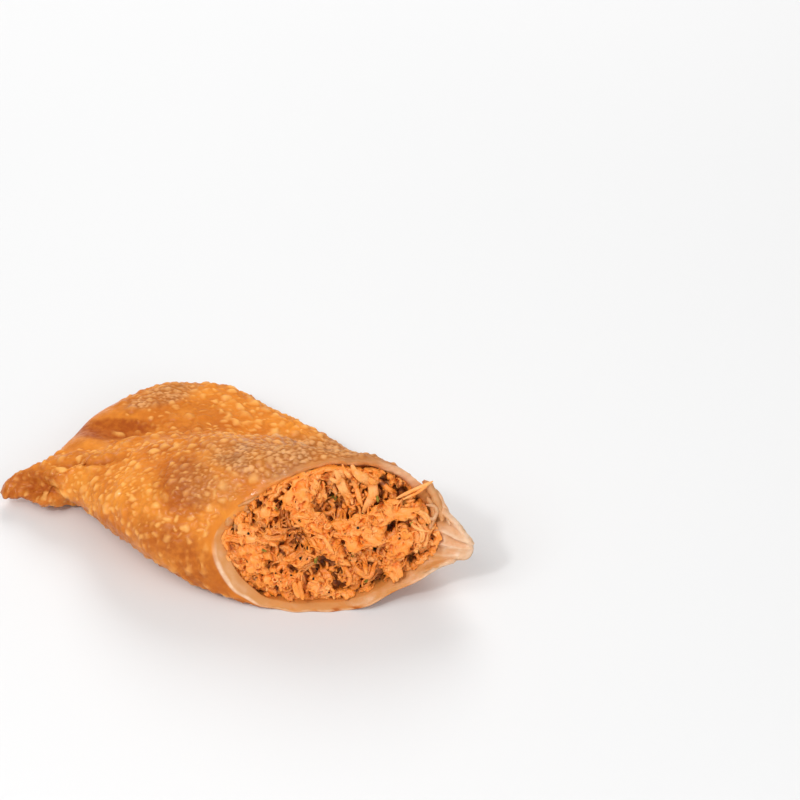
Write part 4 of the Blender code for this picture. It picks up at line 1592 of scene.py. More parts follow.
def layered(points, layers, shift=0.0):
    """Noises of several sizes, added up."""
    return sum(
        strength * noise_at(points * stretch, size, shift + own)
        for strength, size, own, stretch in layers
    )


def chunk_shape(length, width, thickness, rng, fineness):
    """A torn lump of meat with its grain along x: lobed sides, grooves and frayed ends."""
    points, faces = ball(fineness)
    shift = rng.uniform(*CHUNK_SHIFTS)
    bulk = 1.0 + layered(points, CHUNK_LAYERS + FINE_LAYERS.get(fineness, ()), shift)
    shape = points * bulk[:, None]
    ends = smooth(*FRAYED_ENDS, np.abs(points[:, 0]))
    shape[:, 0] *= 1.0 + ends * layered(points, [FRAYED_LAYER], shift)
    shape = shape * (0.5 * length, 0.5 * width, 0.5 * thickness)
    shape[:, 2] += either_way(rng, CHUNK_BEND) * shape[:, 0] ** 2 / length
    return shape, faces


def meat_tint(points, tint):
    """A tint that varies in streaks and blots over a piece of meat, and by where it lies."""
    columns, rows = photo_place(points)
    tone = PALE_SHIFT * patches_at(columns, rows, PALE_MEAT)
    tone -= BROWN_SHIFT * patches_at(columns, rows, BROWN_MEAT)
    return np.clip(tint + tone + layered(points, TINT_LAYERS), 0.0, 1.0)


def settle(face, shape, right, up, sink, clearance=CLEARANCE, on_top=False):
    """Rests a shape on the heap at a place, or brings it to the top, and returns its places."""
    flat = shape + (right, up, 0.0)
    top = shape[:, 2].max()
    highest = float(face.ceiling(right, up)) - UNDER_CEILING * top
    under = flat[shape[:, 2] < 0.0]
    gap = face.level(under[:, 0], under[:, 1]) - under[:, 2]
    resting = float(np.percentile(gap, RESTING_PERCENTILE)) - sink
    flat[:, 2] += highest if on_top else min(resting, highest)
    flat = face.keep_in(flat, clearance)
    flat[:, 2] -= PIT_DEPTH * face.pits(flat) + OPEN_PIT_DEPTH * open_pits(face.in_space(flat))
    face.cover(flat)
    return flat


def lay_chunk(batch, face, shape, faces, spot, tint, sink, **how):
    """Settles a chunk on the heap at a spot and adds it to the batch."""
    flat = settle(face, shape, *spot, sink, **how)
    points = face.in_space(flat)
    batch.add(points, faces, tint=meat_tint(points, tint), lift=face.shaded(flat))


# Strips of meat: their grooves, and how they wander, taper and drape over the heap.
STRIP_GROOVES = 0.16
STRIP_UNEVEN = (0.94, 1.06)
WANDER_TWIST = 3.0
WANDER_BEND = 6.0
TAPER_ENDS = (0.02, 0.98)
TAPER_FULL = 1.25
TAPER_POWER = 0.45
DRAPE_SHARES = (0.1, 0.2, 0.4, 0.2, 0.1)
DRAPE_DROP = 0.0006
DRAPE_OVER = 0.0004
DRAPE_REST = 0.25

# A strand is a bundle of fibres: how they spread, arch, lift, swing, overlap and stop short, and
# how they differ.
FIBRE_SPREAD = 0.8
FIBRES_GATHER = (0.3, 0.7)
FIBRE_ARCH = 0.3
FIBRE_LIFT = 0.12
FIBRE_SWING = 0.12
FIBRE_WAVES = (4.0, 9.0)
FIBRE_PHASE = (0.0, 6.0)
FIBRE_OVERLAP = 0.62
FIBRE_SHORT = 0.14
FIBRE_WIDTHS = (0.8, 1.2)
FIBRE_THICKNESS = (0.75, 1.05)
FIBRE_TINT = 0.1


def tube(path, normals, widths, thicknesses, sides, rng):
    """A strip along a path, oval across, with grooves along it."""
    steps = len(path)
    heading = unit(np.gradient(path, axis=0))
    sideways = unit(np.cross(normals, heading))
    outward = np.cross(heading, sideways)
    angle = 2.0 * math.pi * np.arange(sides) / sides
    grooves = 1.0 + STRIP_GROOVES * np.array([rng.uniform(-1.0, 1.0) for _ in range(sides)])
    uneven = [[rng.uniform(*STRIP_UNEVEN) for _ in range(sides)] for _ in range(steps)]
    grooves = grooves[None, :] * np.array(uneven)
    across = 0.5 * widths[:, None] * np.cos(angle) * grooves
    above = 0.5 * thicknesses[:, None] * np.sin(angle) * grooves
    round_path = across[..., None] * sideways[:, None] + above[..., None] * outward[:, None]
    points = path[:, None] + round_path
    return points.reshape(-1, 3), tube_faces(steps, sides)


def wander(right, up, heading, length, steps, rng, curl):
    """A bending path in the face's plane."""
    bend = either_way(rng, curl)
    twist = either_way(rng, curl)
    spots = []
    step = length / (steps - 1)
    for number in range(steps):
        spots.append((right, up))
        turn = bend + twist * math.sin(WANDER_TWIST * number / steps + bend)
        heading += turn * WANDER_BEND / steps
        right += step * math.cos(heading)
        up += step * math.sin(heading)
    spots = np.array(spots)
    return spots - spots.mean(axis=0) + spots[0]


def resample(points, steps):
    """Evenly spaced points along a smooth curve through the given ones."""
    return curve_through(points, np.linspace(0.0, 1.0, steps))


def tapered(steps, least=0.15):
    """Full in the middle of a strand, and falling off at its ends."""
    own = np.clip(np.linspace(0.0, 1.0, steps), *TAPER_ENDS)
    return np.clip(TAPER_FULL * np.sin(math.pi * own) ** TAPER_POWER, least, 1.0)


def draped_lift(face, spots, thickness):
    """How high a strand lies that follows the heap under it."""
    level = face.level(spots[:, 0], spots[:, 1])
    padded = np.pad(level, len(DRAPE_SHARES) // 2, mode="edge")
    level = np.maximum(np.convolve(padded, DRAPE_SHARES, mode="valid"), level - DRAPE_DROP)
    highest = face.ceiling(spots[:, 0], spots[:, 1]) + DRAPE_OVER
    return np.minimum(level, highest) + DRAPE_REST * thickness


def lay_strand(batch, face, spots, lift, width, thickness, fibres, rng, tint, sides):
    """Lays a bundle of fibres along places on the face, at a lift."""
    steps = len(spots)
    along = np.linspace(0.0, 1.0, steps)
    path = face.in_space(np.column_stack([spots, lift]))
    normals = np.repeat(face.out[None], steps, axis=0)
    sideways = np.cross(normals, unit(np.gradient(path, axis=0)))
    loose = FIBRE_SHORT if fibres > 1 else 0.0
    for number in range(fibres):
        aside = (number + 0.5) / fibres - 0.5
        from_middle = 2.0 * np.abs(along - rng.uniform(*FIBRES_GATHER))
        spread = 1.0 + FIBRE_SPREAD * from_middle**2
        arch = FIBRE_ARCH * math.cos(math.pi * aside)
        rise = thickness * (arch + either_way(rng, FIBRE_LIFT))
        first = int(rng.uniform(0.0, loose) * (steps - 1))
        last = int(math.ceil((1.0 - rng.uniform(0.0, loose)) * (steps - 1))) + 1
        waves = along * rng.uniform(*FIBRE_WAVES) + rng.uniform(*FIBRE_PHASE)
        swing = FIBRE_SWING * width * np.sin(waves)
        line = path + (width * aside * spread + swing)[:, None] * sideways + rise * normals
        taper = tapered(last - first)
        wide = width / max(1.0, fibres * FIBRE_OVERLAP) * rng.uniform(*FIBRE_WIDTHS) * taper
        thick = thickness * rng.uniform(*FIBRE_THICKNESS) * taper
        points, faces = tube(line[first:last], normals[first:last], wide, thick, sides, rng)
        flat = face.places(points)
        face.cover(flat)
        own_tint = meat_tint(points, tint + either_way(rng, FIBRE_TINT))
        batch.add(points, faces, tint=own_tint, lift=face.lift_share(flat) * out_of_pits(points))


# Kinds of strands and chunks that are scattered, with lengths and widths in millimetres.
SMALL_TINTS = (0.3, 0.45, 0.52, 0.6, 0.75)
SHREDS = {
    "lengths": (4.0, 9.0),
    "widths": (0.9, 1.9),
    "bundles": (1, 2, 2),
    "tints": (0.3, 0.42, 0.5, 0.54, 0.58, 0.64, 0.78),
    "steps": 14,
    "sides": 7,
    "curl": 0.75,
    "spare_pits": True,
}
FIBRES = {
    "lengths": (2.5, 6.0),
    "widths": (0.35, 0.8),
    "bundles": (1,),
    "tints": SMALL_TINTS,
    "steps": 9,
    "sides": 6,
    "curl": 0.9,
    "spare_pits": False,
}
CHUNK_TINTS = (0.3, 0.4, 0.48, 0.52, 0.6)
CHUNKS = {"lengths": (3.5, 7.0), "tints": CHUNK_TINTS, "fineness": 4, "sink": 0.3}
CRUMBS = {"lengths": (1.0, 2.8), "tints": SMALL_TINTS, "fineness": 2, "sink": 0.2}
EDGE_ROOM = 0.0006
STRAND_ROOM = 0.0018
STRAND_FLATNESS = 0.65
STRAND_PIT_REACH = 0.2
CHUNK_ROOM = 0.3
CHUNK_PIT_REACH = 0.35
CHUNK_BREADTH = (0.35, 0.7)
CHUNK_THICKNESS = (0.5, 0.8)
CHUNK_TILT = 0.5

# Chunks packed round the rim: their sizes and turns, how far they are tucked in under the lip,
# and which of them come to the top.
RIM_JITTER = 0.05
RIM_LENGTHS = (3.0, 5.5)
RIM_BREADTH = (0.5, 0.8)
RIM_THICKNESS = 0.7
RIM_FINENESS = 4
RIM_RADIUS = 0.02
RIM_TUCK = (0.2, 0.45)
RIM_TURN = 0.6
RIM_TILTS = (0.3, 0.5)
RIM_SINK = 0.1
RIM_TOP_UP = 0.1
RIM_TOP_SIDE = 0.7
RIM_TINTS = (0.35, 0.45, 0.52, 0.6)


def either_way(rng, most):
    return rng.uniform(-most, most)


def full_turn(rng):
    return rng.uniform(0.0, 2.0 * math.pi)


def scatter_strands(batch, face, rng, number, kind):
    """Scatters strands of a kind over the heap, each following what lies under it."""
    for _ in range(number):
        right, up = face.fresh_spot(rng, STRAND_ROOM)
        length, width = (rng.uniform(*kind[span]) * MM for span in ("lengths", "widths"))
        if kind["spare_pits"] and near_pit(face, right, up, STRAND_PIT_REACH * length):
            continue
        steps = kind["steps"]
        spots = wander(right, up, full_turn(rng), length, steps, rng, kind["curl"])
        spots = np.column_stack([spots, np.zeros(steps)])
        spots = face.keep_in(spots, EDGE_ROOM + 0.5 * width)[:, :2]
        thickness = STRAND_FLATNESS * width
        lift = draped_lift(face, spots, thickness)
        fibres = rng.choice(kind["bundles"])
        tint = rng.choice(kind["tints"])
        lay_strand(batch, face, spots, lift, width, thickness, fibres, rng, tint, kind["sides"])


def scatter_chunks(batch, face, rng, number, kind):
    """Scatters torn chunks of a kind over the heap."""
    for _ in range(number):
        length = rng.uniform(*kind["lengths"]) * MM
        width = length * rng.uniform(*CHUNK_BREADTH)
        thickness = width * rng.uniform(*CHUNK_THICKNESS)
        spot = face.fresh_spot(rng, EDGE_ROOM + CHUNK_ROOM * width)
        if near_pit(face, *spot, CHUNK_PIT_REACH * length):
            continue
        shape, faces = chunk_shape(length, width, thickness, rng, kind["fineness"])
        turn = full_turn(rng)
        tilts = [either_way(rng, CHUNK_TILT) for _ in range(2)]
        shape = turned(shape, turn, *tilts)
        tint = rng.choice(kind["tints"])
        lay_chunk(batch, face, shape, faces, spot, tint, kind["sink"] * thickness)


def rim_chunks(batch, face, rng, number):
    """Packs small chunks all round against the pastry."""
    for angle in np.linspace(-math.pi, math.pi, number, endpoint=False):
        angle += either_way(rng, RIM_JITTER)
        right, up = math.cos(angle), math.sin(angle)
        length = rng.uniform(*RIM_LENGTHS) * MM
        width = length * rng.uniform(*RIM_BREADTH)
        high = float(face.ceiling(RIM_RADIUS * right, RIM_RADIUS * up))
        reach = float(face.rim_radius(right, up, high)) - rng.uniform(*RIM_TUCK) * width
        shape, faces = chunk_shape(length, width, RIM_THICKNESS * width, rng, RIM_FINENESS)
        heading = angle + 0.5 * math.pi + either_way(rng, RIM_TURN)
        tilts = [either_way(rng, most) for most in RIM_TILTS]
        shape = turned(shape, heading, *tilts)
        how = {"clearance": 0.0, "on_top": up > RIM_TOP_UP or abs(right) > RIM_TOP_SIDE}
        spot = (reach * right, reach * up)
        lay_chunk(batch, face, shape, faces, spot, rng.choice(RIM_TINTS), RIM_SINK * width, **how)


# The core: how its face sinks behind the rim, its crags, and its tint and lift, which sets its
# painted shade.
CORE_SINK = 0.001
CORE_SINK_POWER = 8
CRAG_FADE = (0.0, 0.12)
BROAD_CRAGS = 0.8
BROAD_CRAG_NOISE = (0.005, 4.0)
FINE_CRAGS = 0.45
FINE_CRAG_NOISE = (0.002, 8.0, 3)
CORE_LIFT = 0.16
CORE_LIFT_SUNK = 0.45
CORE_LIFT_SPAN = (0.03, 0.42)
CORE_TINT = 0.2
CORE_TINT_LAYER = (0.25, 0.004, 6.0, EVEN)


class EMPANADA_OT_filling_core(bpy.types.Operator):
    """Builds the filling's body, with a craggy face under the meat, darkened with painted shade"""

    bl_idname = "empanada.filling_core"
    bl_label = "Filling core"

    def execute(self, context):
        wanted = settings("filling")
        face = filling_face()
        depths = np.linspace(FILLING_END, FILLING_START, CORE_BODY_ROWS)
        body = np.array([turn_round(filling_wall, depth) for depth in depths])
        rim = body[-1]
        middle = rim.mean(axis=0)
        ways = 1.0 - np.arange(1, CORE_FACE_ROWS) / CORE_FACE_ROWS
        front = middle + ways[:, None, None] * (rim - middle)
        bulge = wanted.core_bulge * (1.0 - ways**HEAP_POWER)
        bulge -= CORE_SINK * (1.0 - ways**CORE_SINK_POWER)
        front += bulge[:, None, None] * face.forward
        points = front.reshape(-1, 3)
        crags = BROAD_CRAGS * np.abs(noise_at(points, *BROAD_CRAG_NOISE))
        crags -= FINE_CRAGS * noise_at(points, *FINE_CRAG_NOISE)
        crags = crags.reshape(front.shape[:2]) * smooth(*CRAG_FADE, 1.0 - ways)[:, None]
        front -= (wanted.crag_height * crags)[..., None] * face.forward

        grid = np.concatenate([body, front])
        turn = grid.shape[1]
        faces = grid_faces(len(grid), turn) + closing_faces(0, True)
        last, tip = (len(grid) - 1) * turn, len(grid) * turn
        faces += [[last + corner, last + (corner + 1) % turn, tip] for corner in range(turn)]
        points = np.concatenate([grid.reshape(-1, 3), grid[-1].mean(axis=0)[None]])
        on_body = np.zeros(len(body) * turn)
        on_face = np.concatenate([on_body, np.ones(crags.size + 1)])
        sunk = np.concatenate([on_body, crags.ravel(), [0.0]])
        # Painted shade: the lift, which the material turns into shade, is lower in the crags and nil
        # in the open pits.
        lift = CORE_LIFT + on_face * (CORE_LIFT - CORE_LIFT_SUNK * sunk)
        lift = np.clip(lift, *CORE_LIFT_SPAN) * (1.0 - open_pits(points))
        tint = np.clip(CORE_TINT + layered(points, [CORE_TINT_LAYER]), 0.0, 1.0)
        material = meat_material("filling_core", wanted, CORE_COAT)
        piece = make_mesh("filling_core", points, faces, material, tint=tint, lift=lift)
        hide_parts("chicken_filling")
        hand_over(piece)
        return {"FINISHED"}


# The meat that stands out in the photograph, by its pixels: chunks by middle, length and width in
# millimetres, turn and tint; strands by the pixels that they pass, width, fibres and tint.
SEEN_CHUNKS = {
    "upper_left": ((301, 498), 11.5, 8.5, 65.0, 0.54),
    "upper_left_tail": ((314, 519), 11.0, 5.5, -25.0, 0.52),
    "small_left": ((266, 511), 7.0, 4.6, 75.0, 0.62),
    "pale_left": ((250, 534), 8.0, 5.4, 10.0, 0.7),
    "hook": ((256, 560), 10.0, 7.0, -50.0, 0.55),
    "hook_end": ((271, 579), 7.5, 4.4, -65.0, 0.58),
    "star": ((390, 512), 14.0, 6.2, 12.0, 0.54),
    "star_body": ((358, 531), 14.0, 8.5, -15.0, 0.54),
    "right": ((397, 542), 8.5, 8.0, 40.0, 0.52),
    "right_low": ((392, 567), 9.5, 4.4, -75.0, 0.62),
    "middle": ((330, 546), 10.0, 5.2, -35.0, 0.55),
    "low_middle": ((320, 588), 6.5, 5.2, 15.0, 0.7),
    "low_left": ((290, 584), 6.5, 4.4, 30.0, 0.58),
    "low_right": ((352, 576), 9.0, 5.0, 35.0, 0.4),
    "left_brown": ((272, 533), 6.5, 3.6, 10.0, 0.4),
    "low_brown": ((300, 556), 7.0, 4.0, 20.0, 0.42),
    "right_pale": ((420, 536), 8.0, 5.0, 80.0, 0.6),
    "right_top": ((418, 513), 6.5, 4.0, -40.0, 0.6),
}
SEEN_STRANDS = {
    "right_thick": (((366, 477), (380, 486), (397, 496)), 2.0, 1, 0.66),
    "slant_a": (((296, 536), (308, 546), (322, 552)), 1.5, 2, 0.7),
    "slant_b": (((318, 528), (328, 538), (334, 548)), 1.3, 1, 0.8),
    "slant_c": (((302, 529), (313, 539), (320, 547)), 1.1, 1, 0.8),
    "curl_a": (((346, 556), (356, 568), (368, 574), (374, 562)), 1.5, 2, 0.4),
    "curl_b": (((352, 548), (364, 560), (366, 572)), 1.5, 1, 0.66),
    "curl_c": (((350, 578), (358, 586), (370, 584), (377, 574)), 1.2, 2, 0.4),
    "curl_d": (((344, 566), (350, 576), (347, 586)), 1.2, 1, 0.5),
    "right_web_a": (((412, 506), (424, 513), (430, 526)), 1.3, 2, 0.7),
    "right_web_b": (((414, 520), (422, 532), (417, 548)), 1.2, 2, 0.7),
    "right_web_c": (((405, 514), (414, 524), (428, 530)), 1.0, 1, 0.75),
    "right_web_d": (((428, 534), (424, 546), (412, 556)), 1.1, 1, 0.75),
    "left_web_a": (((254, 518), (268, 524), (288, 521)), 1.3, 2, 0.35),
    "left_web_b": (((258, 528), (274, 534), (292, 531)), 1.1, 2, 0.35),
    "left_web_c": (((262, 538), (276, 541), (290, 538)), 1.0, 1, 0.4),
}
LIP_STRANDS = {
    "over_the_lip": (((433, 481), (416, 489), (396, 499)), 1.0, 1, 0.8),
    "over_the_lip_low": (((431, 483), (416, 493), (403, 500)), 0.8, 1, 0.75),
    "hanging": (((297, 580), (299, 590), (300, 600)), 1.8, 2, 0.6),
}
FOLD_STRANDS = {
    "fifth_fold": (((312, 478), (320, 487), (323, 499)), 1.6, 2, 0.66),
    "fourth_fold": (((321, 474), (329, 484), (333, 498)), 1.8, 2, 0.7),
    "third_fold": (((331, 470), (340, 480), (345, 493), (350, 509)), 2.1, 2, 0.76),
    "inner_fold": (((342, 467), (351, 477), (357, 491), (362, 508)), 1.5, 1, 0.66),
    "broad_fold": (((352, 467), (363, 475), (371, 487), (372, 499), (364, 512)), 2.7, 1, 0.8),
}

# The strands that show: their flatness, and how far they rise over the heap or else their lift.
LAID_STRANDS = (
    (SEEN_STRANDS, 0.65, 0.0004, None),
    (FOLD_STRANDS, 0.42, 0.0010, None),
    (LIP_STRANDS, 0.65, 0.0, 0.0045),
)
LAID_STEPS = 18
LAID_SIDES = 10

# The chunks that show: how thick and fine they are, and how far they sink in and tilt.
SEEN_THICKNESS = 0.55
SEEN_SINK = 0.3
SEEN_TILT = 0.15
SEEN_FINENESS = 5

# Pits that stay open, by pixels: middle and radius. Nothing is scattered over the first ones.
PITS = (
    ((265, 504), 4.5),
    ((292, 567), 3.5),
    ((338, 583), 5.5),
    ((379, 579), 5.5),
    ((345, 550), 3.0),
    ((382, 482), 4.0),
    ((402, 488), 6.0),
    ((337, 507), 2.0),
    ((300, 538), 2.5),
    ((392, 526), 2.5),
    ((270, 566), 3.0),
    ((247, 512), 3.0),
    ((410, 556), 3.0),
    ((322, 563), 3.0),
)
SMALL_PITS = (
    ((267, 492), 2.5),
    ((283, 550), 2.0),
    ((298, 548), 2.5),
    ((330, 493), 2.0),
    ((382, 508), 1.5),
    ((418, 517), 1.5),
    ((258, 571), 1.5),
    ((277, 587), 2.0),
    ((295, 588), 2.0),
    ((362, 541), 1.5),
    ((315, 500), 1.5),
    ((338, 571), 2.0),
)


PIT_LEVEL = 0.003


def near_pit(face, right, up, reach):
    """Whether a piece with this reach would lie over one of the pits that stay open."""
    columns, rows = photo_place(face.in_space(np.array([[right, up, PIT_LEVEL]])))
    reach = reach * PIXELS_PER_METRE
    return any(math.dist((columns[0], rows[0]), spot) < radius + reach for spot, radius in PITS)


def finish_meat(batch, name):
    """Makes one piece of all the meat in a batch."""
    material = bpy.data.materials.get("chicken_meat")
    if not material:
        material = meat_material("chicken_meat", settings("filling"), MEAT_COAT)
    hand_over(batch.make(name, material))


class EMPANADA_OT_chunks(bpy.types.Operator):
    """Heaps torn chunks of chicken on the core"""

    bl_idname = "empanada.chunks"
    bl_label = "Chicken chunks"

    def execute(self, context):
        wanted = settings("filling")
        face = filling_face()
        batch = Batch()
        rng = random.Random(5)
        scatter_chunks(batch, face, rng, wanted.chunk_count, CHUNKS)
        rim_chunks(batch, face, rng, wanted.rim_count)
        finish_meat(batch, "chicken_chunks")
        return {"FINISHED"}


class EMPANADA_OT_shreds(bpy.types.Operator):
    """Lays shreds of chicken over the chunks, each a bundle of fibres"""

    bl_idname = "empanada.shreds"
    bl_label = "Chicken shreds"

    def execute(self, context):
        batch = Batch()
        number = settings("filling").shred_count
        scatter_strands(batch, filling_face(), random.Random(17), number, SHREDS)
        finish_meat(batch, "chicken_shreds")
        return {"FINISHED"}


class EMPANADA_OT_large_chunks(bpy.types.Operator):
    """Lays the large chunks of chicken where they show at the cut"""

    bl_idname = "empanada.large_chunks"
    bl_label = "Large chunks"

    def execute(self, context):
        face = filling_face()
        batch = Batch()
        rng = random.Random(29)
        for middle, length, width, turn, tint in SEEN_CHUNKS.values():
            length, width = length * MM, width * MM
            spot = face.photo_spot(*middle)
            shape, faces = chunk_shape(length, width, SEEN_THICKNESS * width, rng, SEEN_FINENESS)
            tilts = [either_way(rng, SEEN_TILT) for _ in range(2)]
            shape = turned(shape, math.radians(turn), *tilts)
            lay_chunk(batch, face, shape, faces, spot, tint, SEEN_SINK * width, on_top=True)
        finish_meat(batch, "chicken_large_chunks")
        return {"FINISHED"}


class EMPANADA_OT_long_strands(bpy.types.Operator):
    """Lays the long strands of chicken where they show, some of them over the lip"""

    bl_idname = "empanada.long_strands"
    bl_label = "Long strands"

    def execute(self, context):
        face = filling_face()
        batch = Batch()
        rng = random.Random(31)
        for strands, flatness, rise, lift in LAID_STRANDS:
            for path, width, fibres, tint in strands.values():
                width = width * MM
                thickness = flatness * width
                spots = [face.photo_spot(*pixel, lift or SPOT_LIFT) for pixel in path]
                spots = resample(spots, LAID_STEPS)
                lifts = np.full(LAID_STEPS, lift)
                if lift is None:
                    lifts = draped_lift(face, spots, thickness) + rise
                lay_strand(batch, face, spots, lifts, width, thickness, fibres, rng, tint, LAID_SIDES)
        finish_meat(batch, "chicken_long_strands")
        return {"FINISHED"}


class EMPANADA_OT_crumbs(bpy.types.Operator):
    """Scatters thin fibres and small crumbs of chicken over the heap"""

    bl_idname = "empanada.crumbs"
    bl_label = "Fibres and crumbs"

    def execute(self, context):
        face = filling_face()
        wanted = settings("filling")
        fibres = Batch()
        scatter_strands(fibres, face, random.Random(23), wanted.fibre_count, FIBRES)
        finish_meat(fibres, "chicken_fibres")
        crumbs = Batch()
        scatter_chunks(crumbs, face, random.Random(37), wanted.crumb_count, CRUMBS)
        finish_meat(crumbs, "chicken_crumbs")
        return {"FINISHED"}


# Seasoning.

# Specks that show, by their pixels, and their kinds: lengths in millimetres, and how broad and
# thick they are as shares of the length.
SEEN_HERBS = ((333, 502), (316, 557), (352, 560))
SEEN_PEPPER = (
    (314, 470),
    (358, 523),
    (332, 491),
    (250, 507),
    (348, 475),
    (301, 555),
    (297, 545),
    (375, 553),
)
HERBS = {"seen": SEEN_HERBS, "lengths": (0.9, 2.4), "across": (0.4, 0.2), "fineness": 2}
PEPPER = {"seen": SEEN_PEPPER, "lengths": (0.35, 1.1), "across": (0.8, 0.7), "fineness": 1}
SPECK_ROOM = 0.002
SPECK_TILT = 0.4
SPECK_SINK = 0.25
SPECK_LOOK = {"second_share": 0.5, "roughness": 0.55, "specular": 0.2, "scale": 1500.0, "detail": 2.0}


def sprinkle(name, kind, number, tone):
    """Lays the specks of a kind that show, and scatters a number of others."""
    face = filling_face()
    rng = random.Random(name)
    batch = Batch()
    spots = [face.photo_spot(*pixel) for pixel in kind["seen"]]
    spots += [face.random_spot(rng, SPECK_ROOM) for _ in range(number)]
    for index, spot in enumerate(spots):
        is_seen = index < len(kind["seen"])
        length = (kind["lengths"][1] if is_seen else rng.uniform(*kind["lengths"])) * MM
        breadth, thickness = (share * length for share in kind["across"])
        shape, faces = chunk_shape(length, breadth, thickness, rng, kind["fineness"])
        shape = turned(shape, full_turn(rng), either_way(rng, SPECK_TILT), 0.0)
        flat = settle(face, shape, *spot, SPECK_SINK * thickness)
        batch.add(face.in_space(flat), faces)
    hand_over(batch.make(name, two_toned(name, tone, **SPECK_LOOK)))


class EMPANADA_OT_seasoning(bpy.types.Operator):
    """Sprinkles grains of pepper and bits of green herb over the filling"""

    bl_idname = "empanada.seasoning"
    bl_label = "Pepper and herbs"

    def execute(self, context):
        wanted = settings("seasoning")
        sprinkle("pepper_grains", PEPPER, wanted.pepper_count, wanted.pepper)
        sprinkle("herb_bits", HERBS, wanted.herb_count, wanted.herb)
        return {"FINISHED"}


# Torn dough.

# Torn flaps of dough at the lip, by the pixels that they pass: width in millimetres, how far they
# stand out before the filling's rim, how much they curl, and how tanned they are.
DOUGH_FLAPS = {
    "upper_left_rim": (((276, 488), (262, 496), (249, 502), (238, 506)), 1.2, 2.8, 0.3, 1.0),
    "upper_left_flap": (((248, 507), (239, 511), (231, 517), (227, 526)), 2.8, 2.8, 0.2, 1.0),
    "upper_left_under": (((250, 511), (243, 516), (238, 522), (235, 530)), 1.6, 2.8, 0.3, 1.0),
    "corner_web": (((423, 481), (431, 490), (438, 504), (442, 521)), 2.6, 3.6, 0.35, 0.9),
    "corner_web_outer": (((430, 486), (440, 499), (446, 512), (450, 525)), 1.7, 3.0, 0.3, 0.5),
    "corner_web_inner": (((427, 497), (432, 507), (434, 518), (430, 529)), 1.7, 3.8, 0.4, 0.9),
    "corner_loop": (((426, 505), (433, 506), (437, 512), (433, 519), (427, 517)), 1.1, 4.2, 0.3, 0.7),
}
FLAP_STEPS = 30
SHEET_HALF = 6
SHEET_THICKNESS = 0.0004
SHEET_SHIFTS = (0.0, 50.0)
SHEET_LEAST = 0.35
RAGGED = 0.35
RAGGED_SIZE = 0.0022
WAVY = 0.00045
WAVY_SIZE = 0.003


def torn_sheet(line, normals, width, curl, rng):
    """A thin sheet along a path, curled across, with ragged edges and a torn end."""
    steps = len(line)
    sideways = np.cross(normals, unit(np.gradient(line, axis=0)))
    shift = rng.uniform(*SHEET_SHIFTS)
    over = np.linspace(-1.0, 1.0, SHEET_HALF)
    around = np.concatenate([over, over[::-1]])
    above = np.repeat([0.5, -0.5], SHEET_HALF)
    ends = tapered(steps, SHEET_LEAST)[:, None]
    ragged = 1.0 + RAGGED * noise_at(line + shift, RAGGED_SIZE)[:, None] * np.sign(around)
    aside = 0.5 * width * ends * ragged * around
    rise = -curl * width * (around**2) * ends + SHEET_THICKNESS * above
    across = aside[..., None] * sideways[:, None] + rise[..., None] * normals[:, None]
    points = (line[:, None] + across).reshape(-1, 3)
    wavy = WAVY * noise_at(points + shift, WAVY_SIZE)
    return points + wavy[:, None] * normals[0], tube_faces(steps, 2 * SHEET_HALF)


class EMPANADA_OT_dough_flaps(bpy.types.Operator):
    """Lays torn flaps of dough at both ends of the cut"""

    bl_idname = "empanada.dough_flaps"
    bl_label = "Torn dough"

    def execute(self, context):
        face = filling_face()
        batch = Batch()
        rng = random.Random(43)
        normals = np.repeat(face.out[None], FLAP_STEPS, axis=0)
        for path, width, lift, curl, tan in DOUGH_FLAPS.values():
            width, lift = width * MM, lift * MM
            spots = resample([face.photo_spot(*pixel, lift) for pixel in path], FLAP_STEPS)
            line = face.in_space(np.column_stack([spots, np.full(FLAP_STEPS, lift)]))
            points, faces = torn_sheet(line, normals, width, curl, rng)
            batch.add(points, faces, tan=tan)
        piece = batch.make("torn_dough", dough_material(settings("pastry")))
        hand_over(piece)
        return {"FINISHED"}


# Stage.


# Lights: width, place and what they point at; the one on the floor stays out of the gloss.
LIGHTS = {
    "key_softbox": (0.8, (-0.5, -0.45, 0.85), (0.0, 0.0, 0.01)),
    "front_fill": (0.9, (0.55, -0.75, 0.5), (0.0, -0.02, 0.01)),
    "floor_light": (0.7, (0.05, 1.0, 0.75), (0.0, 0.5, 0.0)),
    "glint_light": (0.1, (-0.3, -0.5, 0.65), (0.0, 0.0, 0.01)),
}
FLOOR_SQUARES = 8
FLOOR_GAP = 0.0001
FLOOR_LOOK = {"second_share": 0.985, "roughness": 0.7, "specular": 0.5, "scale": 3.0, "detail": 1.0}
CLIP_START = 0.01


def soft_light(name, watts):
    width, spot, aim = LIGHTS[name]
    data = bpy.data.lights.new(name, "AREA")
    data.shape = "DISK"
    data.size = width
    data.energy = watts
    light = add_object(name, data)
    light.location = spot
    light.rotation_euler = (Vector(aim) - Vector(spot)).to_track_quat("-Z", "Y").to_euler()
    light.visible_glossy = name != "floor_light"


def lay_floor(side, tone):
    shape = bmesh.new()
    squares = FLOOR_SQUARES
    bmesh.ops.create_grid(shape, x_segments=squares, y_segments=squares, size=0.5 * side)
    data = bpy.data.meshes.new("floor")
    shape.to_mesh(data)
    shape.free()
    data.materials.append(two_toned("pale_floor", tone, **FLOOR_LOOK))
    floor = add_object("floor", data)
    floor.location.z = -FLOOR_GAP


def light_the_room(strength):
    world = bpy.data.worlds.new("studio")
    world.use_nodes = True
    inputs = world.node_tree.nodes["Background"].inputs
    inputs["Color"].default_value = (1.0, 1.0, 1.0, 1.0)
    inputs["Strength"].default_value = strength
    bpy.context.scene.world = world
    bpy.context.scene.view_settings.view_transform = "Standard"


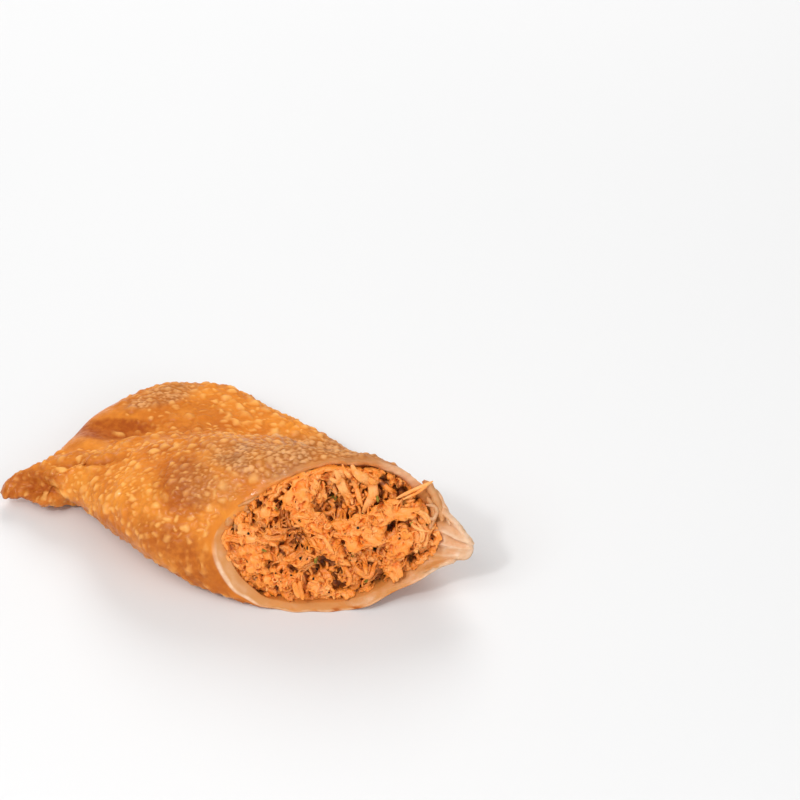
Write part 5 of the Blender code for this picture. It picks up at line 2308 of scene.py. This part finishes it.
def set_camera():
    data = bpy.data.cameras.new("camera")
    data.lens = data.sensor_width * CAMERA_DISTANCE * PIXELS_PER_METRE / PHOTO_SIDE
    data.clip_start = CLIP_START
    camera = add_object("camera", data)
    camera.location = camera_place()
    camera.rotation_euler = (0.5 * math.pi - CAMERA_HEIGHT_ANGLE, 0.0, 0.0)
    bpy.context.scene.camera = camera


class EMPANADA_OT_stage(bpy.types.Operator):
    """Sets the pale floor, the soft studio light and the camera"""

    bl_idname = "empanada.stage"
    bl_label = "Floor, light and camera"

    def execute(self, context):
        wanted = settings("stage")
        lay_floor(wanted.floor_size, wanted.floor)
        powers = (wanted.key_power, wanted.fill_power, wanted.back_power, wanted.glint_power)
        for name, watts in zip(LIGHTS, powers):
            soft_light(name, watts)
        light_the_room(wanted.world)
        set_camera()
        return {"FINISHED"}


GROUPS = {
    "pastry": PastrySettings,
    "filling": FillingSettings,
    "seasoning": SeasoningSettings,
    "stage": StageSettings,
}
OPERATORS = (
    EMPANADA_OT_pastry,
    EMPANADA_OT_filling_core,
    EMPANADA_OT_chunks,
    EMPANADA_OT_shreds,
    EMPANADA_OT_large_chunks,
    EMPANADA_OT_long_strands,
    EMPANADA_OT_crumbs,
    EMPANADA_OT_seasoning,
    EMPANADA_OT_dough_flaps,
    EMPANADA_OT_stage,
)


class EMPANADA_PT_panel(bpy.types.Panel):
    """Lists the empanada's pieces in the order in which they are made"""

    bl_label = "Empanada half"
    bl_idname = "EMPANADA_PT_panel"
    bl_space_type = "VIEW_3D"
    bl_region_type = "UI"
    bl_category = "Empanada"

    def draw(self, context):
        for operator in OPERATORS:
            self.layout.operator(operator.bl_idname)
        for name, group in GROUPS.items():
            box = self.layout.box()
            box.label(text=name.title())
            for title in group.__annotations__:
                box.prop(settings(name), title)


def register():
    for made in (*GROUPS.values(), *OPERATORS, EMPANADA_PT_panel):
        bpy.utils.register_class(made)
    for name, group in GROUPS.items():
        setattr(bpy.types.Scene, "empanada_" + name, bpy.props.PointerProperty(type=group))


def unregister():
    for name in GROUPS:
        delattr(bpy.types.Scene, "empanada_" + name)
    for made in reversed((*GROUPS.values(), *OPERATORS, EMPANADA_PT_panel)):
        bpy.utils.unregister_class(made)


def main():
    register()
    for operator in OPERATORS:
        category, name = operator.bl_idname.split(".")
        getattr(getattr(bpy.ops, category), name)()


if __name__ == "__main__":
    main()
